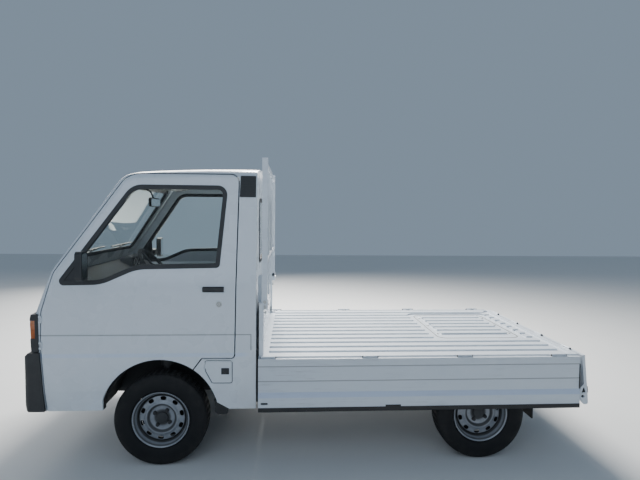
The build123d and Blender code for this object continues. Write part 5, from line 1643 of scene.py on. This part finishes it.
@dataclass
class Under:
    """Arch walls, door seals, fuel cap behind the lid, pipes, boots and sump."""

    paints: Paints
    arch: tuple[float, float, float] = (0.885, 0.292, 0.3305)
    arch_start: float = math.radians(12)
    arch_steps: int = 20
    apron: float = 0.385
    liner_end: float = 0.4395
    lip: Pair = (0.6215, 0.6245)
    lip_share: float = 0.12
    door_seal: tuple[Point, Point] = ((0.4440, 0.5713, 1.650), (0.4520, 0.6315, 1.200))
    seal_size: Pair = (0.014, 0.005)
    # Corners of the dark slabs of painted shade in the gap between cab and bed
    gap_shade_box: tuple[Point, Point] = ((0.3060, 0.645, 0.362), (0.3395, 0.655, 0.675))
    filler: Pair = (0.548, 0.560)
    lid_gap: Outline = ((0.6320, 0.6217), (0.4724, 0.6195), (0.4724, 0.4864), (0.5898, 0.4874),
                        (0.6265, 0.5567))
    # Depth of the dark ring of painted shade in the lid's gap
    lid_shade_depth: float = 0.678
    lid_lock: Pair = (0.514, 0.558)
    lid_plate: float = 0.6913
    pipe_y: float = 0.2935
    pipe_z: Pair = (0.500, 0.482)
    boot: Pair = (-1.0, 0.268)
    boot_start: float = 0.450
    boot_ribs: int = 5
    boot_pitch: float = 0.009
    boot_radii: Pair = (0.041, 0.052)
    sump_ribs: int = 8
    pulleys: tuple[tuple[float, float, float], ...] = (
        (-1.260, 0.360, 0.060), (-1.340, 0.500, 0.042), (-1.180, 0.480, 0.036))

    def wheelhouse(self) -> None:
        """Inner walls of the front wheel arches from the liners' inner ends, and the arches' lips."""
        middle_x, middle_z, radius = self.arch
        points = []
        for step in range(self.arch_steps + 1):
            turn = self.arch_start + (math.pi - 2 * self.arch_start) * step / self.arch_steps
            points.append((middle_x + radius * math.cos(turn), middle_z + radius * math.sin(turn)))
        wall, lip = Shape(), Shape()
        wall.plate(Axis.Y, self.apron, points, 0.002)
        low_y, high_y = self.lip
        for first, last in zip(points, points[1:]):
            way = Vector((middle_x - first[0], 0, middle_z - first[1])).normalized() * 0.003
            wall.slab(on_plane(Axis.Y, self.apron, (first, last))
                      + on_plane(Axis.Y, self.liner_end, (last, first)), way)
            rim = [(x + (x - middle_x) * self.lip_share, z + (z - middle_z) * self.lip_share)
                   for x, z in (last, first)]
            lip.plate(Axis.Y, low_y, [first, last, *rim], high_y - low_y)
        for shape, name in ((wall, "wheelhouse_walls"), (lip, "arch_lips")):
            shape.mirrored()
            shape.finish(name, self.paints.rubber, slot="chassis_black")

    def seals(self) -> None:
        """Seals behind the doors' rear edges, and dark slabs of painted shade in the gap between cab and bed.
        """
        seals, gap_shades = Shape(), Shape()
        (top_x, top_y, top_z), (low_x, low_y, low_z) = self.door_seal
        half, wall = self.seal_size
        seals.slab([(top_x - half, top_y, top_z), (top_x + half, top_y, top_z),
                    (low_x + half, low_y, low_z), (low_x - half, low_y, low_z)], (0, -wall, 0))
        seals.mirrored()
        seals.eased(0.001, 1)
        seals.finish("door_seals", self.paints.rubber)
        # Dark slabs stand in for the shade in the gap between cab and bed
        gap_shades.brick(*self.gap_shade_box)
        gap_shades.mirrored()
        gap_shades.finish("gap_flaps", self.paints.rubber)

    def fuel_cap(self) -> None:
        """Filler cap in its pocket behind the lid."""
        cap = Shape()
        cap.stud(Axis.Y, self.filler, 0.668, 0.6765, 0.031, 28)
        cap.stud(Axis.Y, self.filler, 0.6765, 0.6795, 0.027, 28)
        x, z = self.filler
        cap.brick((x - 0.022, 0.6765, z - 0.0055), (x + 0.022, 0.6838, z + 0.0055))
        cap.eased(0.0014, 2)
        cap.finish("fuel_cap", self.paints.plastic)

    def lid(self) -> None:
        """Dark ring of painted shade in the gap round the fuel lid, and the lid's lock plate with its turning
        knob.
        """
        # A black ring in the lid's gap stands in for the shade in it
        seal = Shape()
        bm = seal.bm
        bm.faces.new([bm.verts.new(p) for p in on_plane(Axis.Y, self.lid_shade_depth, self.lid_gap)])
        bmesh.ops.bevel(bm, geom=bm.verts[:], offset=0.010, offset_type="OFFSET", segments=5, profile=0.5,
                        affect="VERTICES", material=-1)
        whole = bm.faces[:]
        seal.inset(whole, 0.0036, edges=True)
        bmesh.ops.delete(bm, geom=whole, context="FACES_ONLY")
        seal.pushed(bm.faces[:], (0, 0.005, 0))
        seal.finish("fuel_lid_seal", self.paints.rubber)
        lock = Shape()
        top = self.lid_plate + 0.0012
        lock.plate(Axis.Y, self.lid_plate, tile(self.lid_lock, (0.0225, 0.0185), 0.003), 0.0012)
        lock.stud(Axis.Y, self.lid_lock, top, self.lid_plate + 0.0030, 0.0098, 24, 0.0090)
        lock.eased(0.0003, 1)
        lock.finish("fuel_lid_lock", self.paints.plastic, "fuel_lid")

    def pipes(self) -> None:
        """Brake and fuel pipes along the left rail."""
        pipes = Shape()
        y, radius = self.pipe_y, 0.0045
        for z in self.pipe_z:
            pipes.run([(1.20, y, z - 0.11), (0.36, y, z - 0.11), (0.14, y, z), (-0.92, y, z)], radius)
        pipes.run([(-0.92, y, 0.500), (-0.985, 0.300, 0.420), (-0.990, 0.300, 0.320), (-0.990, 0.480, 0.309)],
                  radius)
        pipes.finish("brake_pipes", self.paints.heated, slot="chassis_black")

    def boots(self) -> None:
        """Ribbed boots on the rear drive shafts."""
        boots = Shape()
        small, wide = self.boot_radii
        half = self.boot_pitch / 2
        for side in Side:
            for rib in range(self.boot_ribs):
                y = self.boot_start + rib * self.boot_pitch
                boots.stud(Axis.Y, self.boot, side * y, side * (y + half), small, 24, wide)
                boots.stud(Axis.Y, self.boot, side * (y + half), side * (y + 2 * half), wide, 24, small)
        boots.finish("shaft_boots", self.paints.rubber)

    def sump(self) -> None:
        """Ribbed sump and belt pulleys on the engine block."""
        sump = Shape()
        sump.brick((-1.400, -0.250, 0.284), (-1.120, 0.100, 0.3005))
        for row in range(self.sump_ribs):
            y = -0.225 + row * 0.0425
            sump.brick((-1.385, y, 0.279), (-1.135, y + 0.008, 0.285))
        sump.eased(0.002, 1)
        sump.finish("engine_sump", self.paints.alloy)
        belt = Shape()
        for x, z, radius in self.pulleys:
            belt.stud(Axis.Y, (x, z), 0.1600, 0.184, radius, 28)
            belt.stud(Axis.Y, (x, z), 0.184, 0.190, radius * 0.35)
        belt.eased(0.002, 1)
        belt.finish("belt_pulleys", self.paints.heated)

    def build(self) -> None:
        """Add the pieces."""
        self.wheelhouse()
        self.seals()
        self.fuel_cap()
        self.lid()
        self.pipes()
        self.boots()
        self.sump()


@dataclass
class Studio:
    """Floor, soft light and the camera at the photograph's angle."""

    lens_px: float = 481.0
    photo_width: float = 640.0
    sensor: float = 36.0
    stand: Point = (0.1444, 3.4271, 1.4544)
    yaw: float = math.radians(-3.49)
    pitch: float = math.radians(-2.956)
    roll: float = math.radians(0.532)
    floor_half: float = 14.0
    paper: tuple[Colour, Colour] = ((0.70, 0.70, 0.69), (0.73, 0.73, 0.72))
    sky: Colour = (0.60, 0.78, 1.0)
    sky_strength: float = 0.36
    # Name, place, aim, size, power and tint of each light
    lamps: tuple[tuple[str, Point, Point, float, float, Colour], ...] = (
        ("overhead", (-0.2, -3.3, 4.6), (0, 0, 0.5), 2.2, 760, (1.0, 0.98, 0.94)),
        ("camera_side", (1.5, 6.0, 3.6), (0, 0, 0.8), 5.0, 85, (0.78, 0.88, 1.0)),
        ("behind", (2.5, -6.0, 3.5), (0, 0, 0.8), 4.0, 300, (1.0, 0.98, 0.94)))

    def camera(self) -> None:
        """Put the camera where the photograph was taken from."""
        data = bpy.data.cameras.new("camera")
        data.sensor_width = self.sensor
        data.lens = self.lens_px * self.sensor / self.photo_width
        camera = bpy.data.objects.new("camera", data)
        bpy.context.scene.collection.objects.link(camera)
        up = Vector((0, 0, 1))
        ahead = Vector((math.sin(self.yaw), -math.cos(self.yaw), 0))
        right = Vector((-math.cos(self.yaw), -math.sin(self.yaw), 0))
        view = ahead * math.cos(self.pitch) + up * math.sin(self.pitch)
        above = up * math.cos(self.pitch) - ahead * math.sin(self.pitch)
        tilted_right = right * math.cos(self.roll) + above * math.sin(self.roll)
        tilted_up = above * math.cos(self.roll) - right * math.sin(self.roll)
        turn = Matrix((tilted_right, tilted_up, -view)).transposed()
        camera.matrix_world = Matrix.Translation(self.stand) @ turn.to_4x4()
        bpy.context.scene.camera = camera

    def floor(self) -> None:
        """Lay the pale floor."""
        shape = Shape()
        bmesh.ops.create_grid(shape.bm, x_segments=1, y_segments=1, size=self.floor_half)
        mesh = bpy.data.meshes.new("floor")
        shape.bm.to_mesh(mesh)
        shape.bm.free()
        floor = bpy.data.objects.new("floor", mesh)
        bpy.context.scene.collection.objects.link(floor)
        r = Recipe("floor_paper")
        r.surface(Base_Color=r.mix(r.noise(3, 3), *self.paper), Roughness=0.85)
        mesh.materials.append(r.material)

    def lights(self) -> None:
        """Hang large soft lights and an even sky."""
        world = bpy.data.worlds.new("sky")
        bpy.context.scene.world = world
        world.use_nodes = True
        sky = next(n for n in world.node_tree.nodes if n.type == "BACKGROUND")
        sky.inputs["Color"].default_value = (*self.sky, 1.0)
        sky.inputs["Strength"].default_value = self.sky_strength
        for name, spot, aim, size, power, tint in self.lamps:
            data = bpy.data.lights.new(name, "AREA")
            data.color = tint
            data.size = size
            data.energy = power
            light = bpy.data.objects.new(name, data)
            bpy.context.scene.collection.objects.link(light)
            light.location = spot
            light.visible_transmission = False
            way = Vector(aim) - Vector(spot)
            light.rotation_euler = way.to_track_quat("-Z", "Y").to_euler()

    def build(self) -> None:
        """Set up the whole studio."""
        self.camera()
        self.floor()
        self.lights()


def main() -> None:
    """Build the truck's finishes and details in order."""
    logging.basicConfig(level=logging.INFO, format="%(message)s")
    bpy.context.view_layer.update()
    Studio().build()
    paints = Paints()
    paints.dress_solids()
    for corner in Corner:
        Tyre(corner).build()
        SteelWheel(corner, paints).build()
    Seats(paints).build()
    Cabin(paints).build()
    for side in Side:
        DoorDress(side, paints).build()
    Nose(paints).build()
    Bed(paints).build()
    Under(paints).build()


if __name__ == "__main__":
    main()
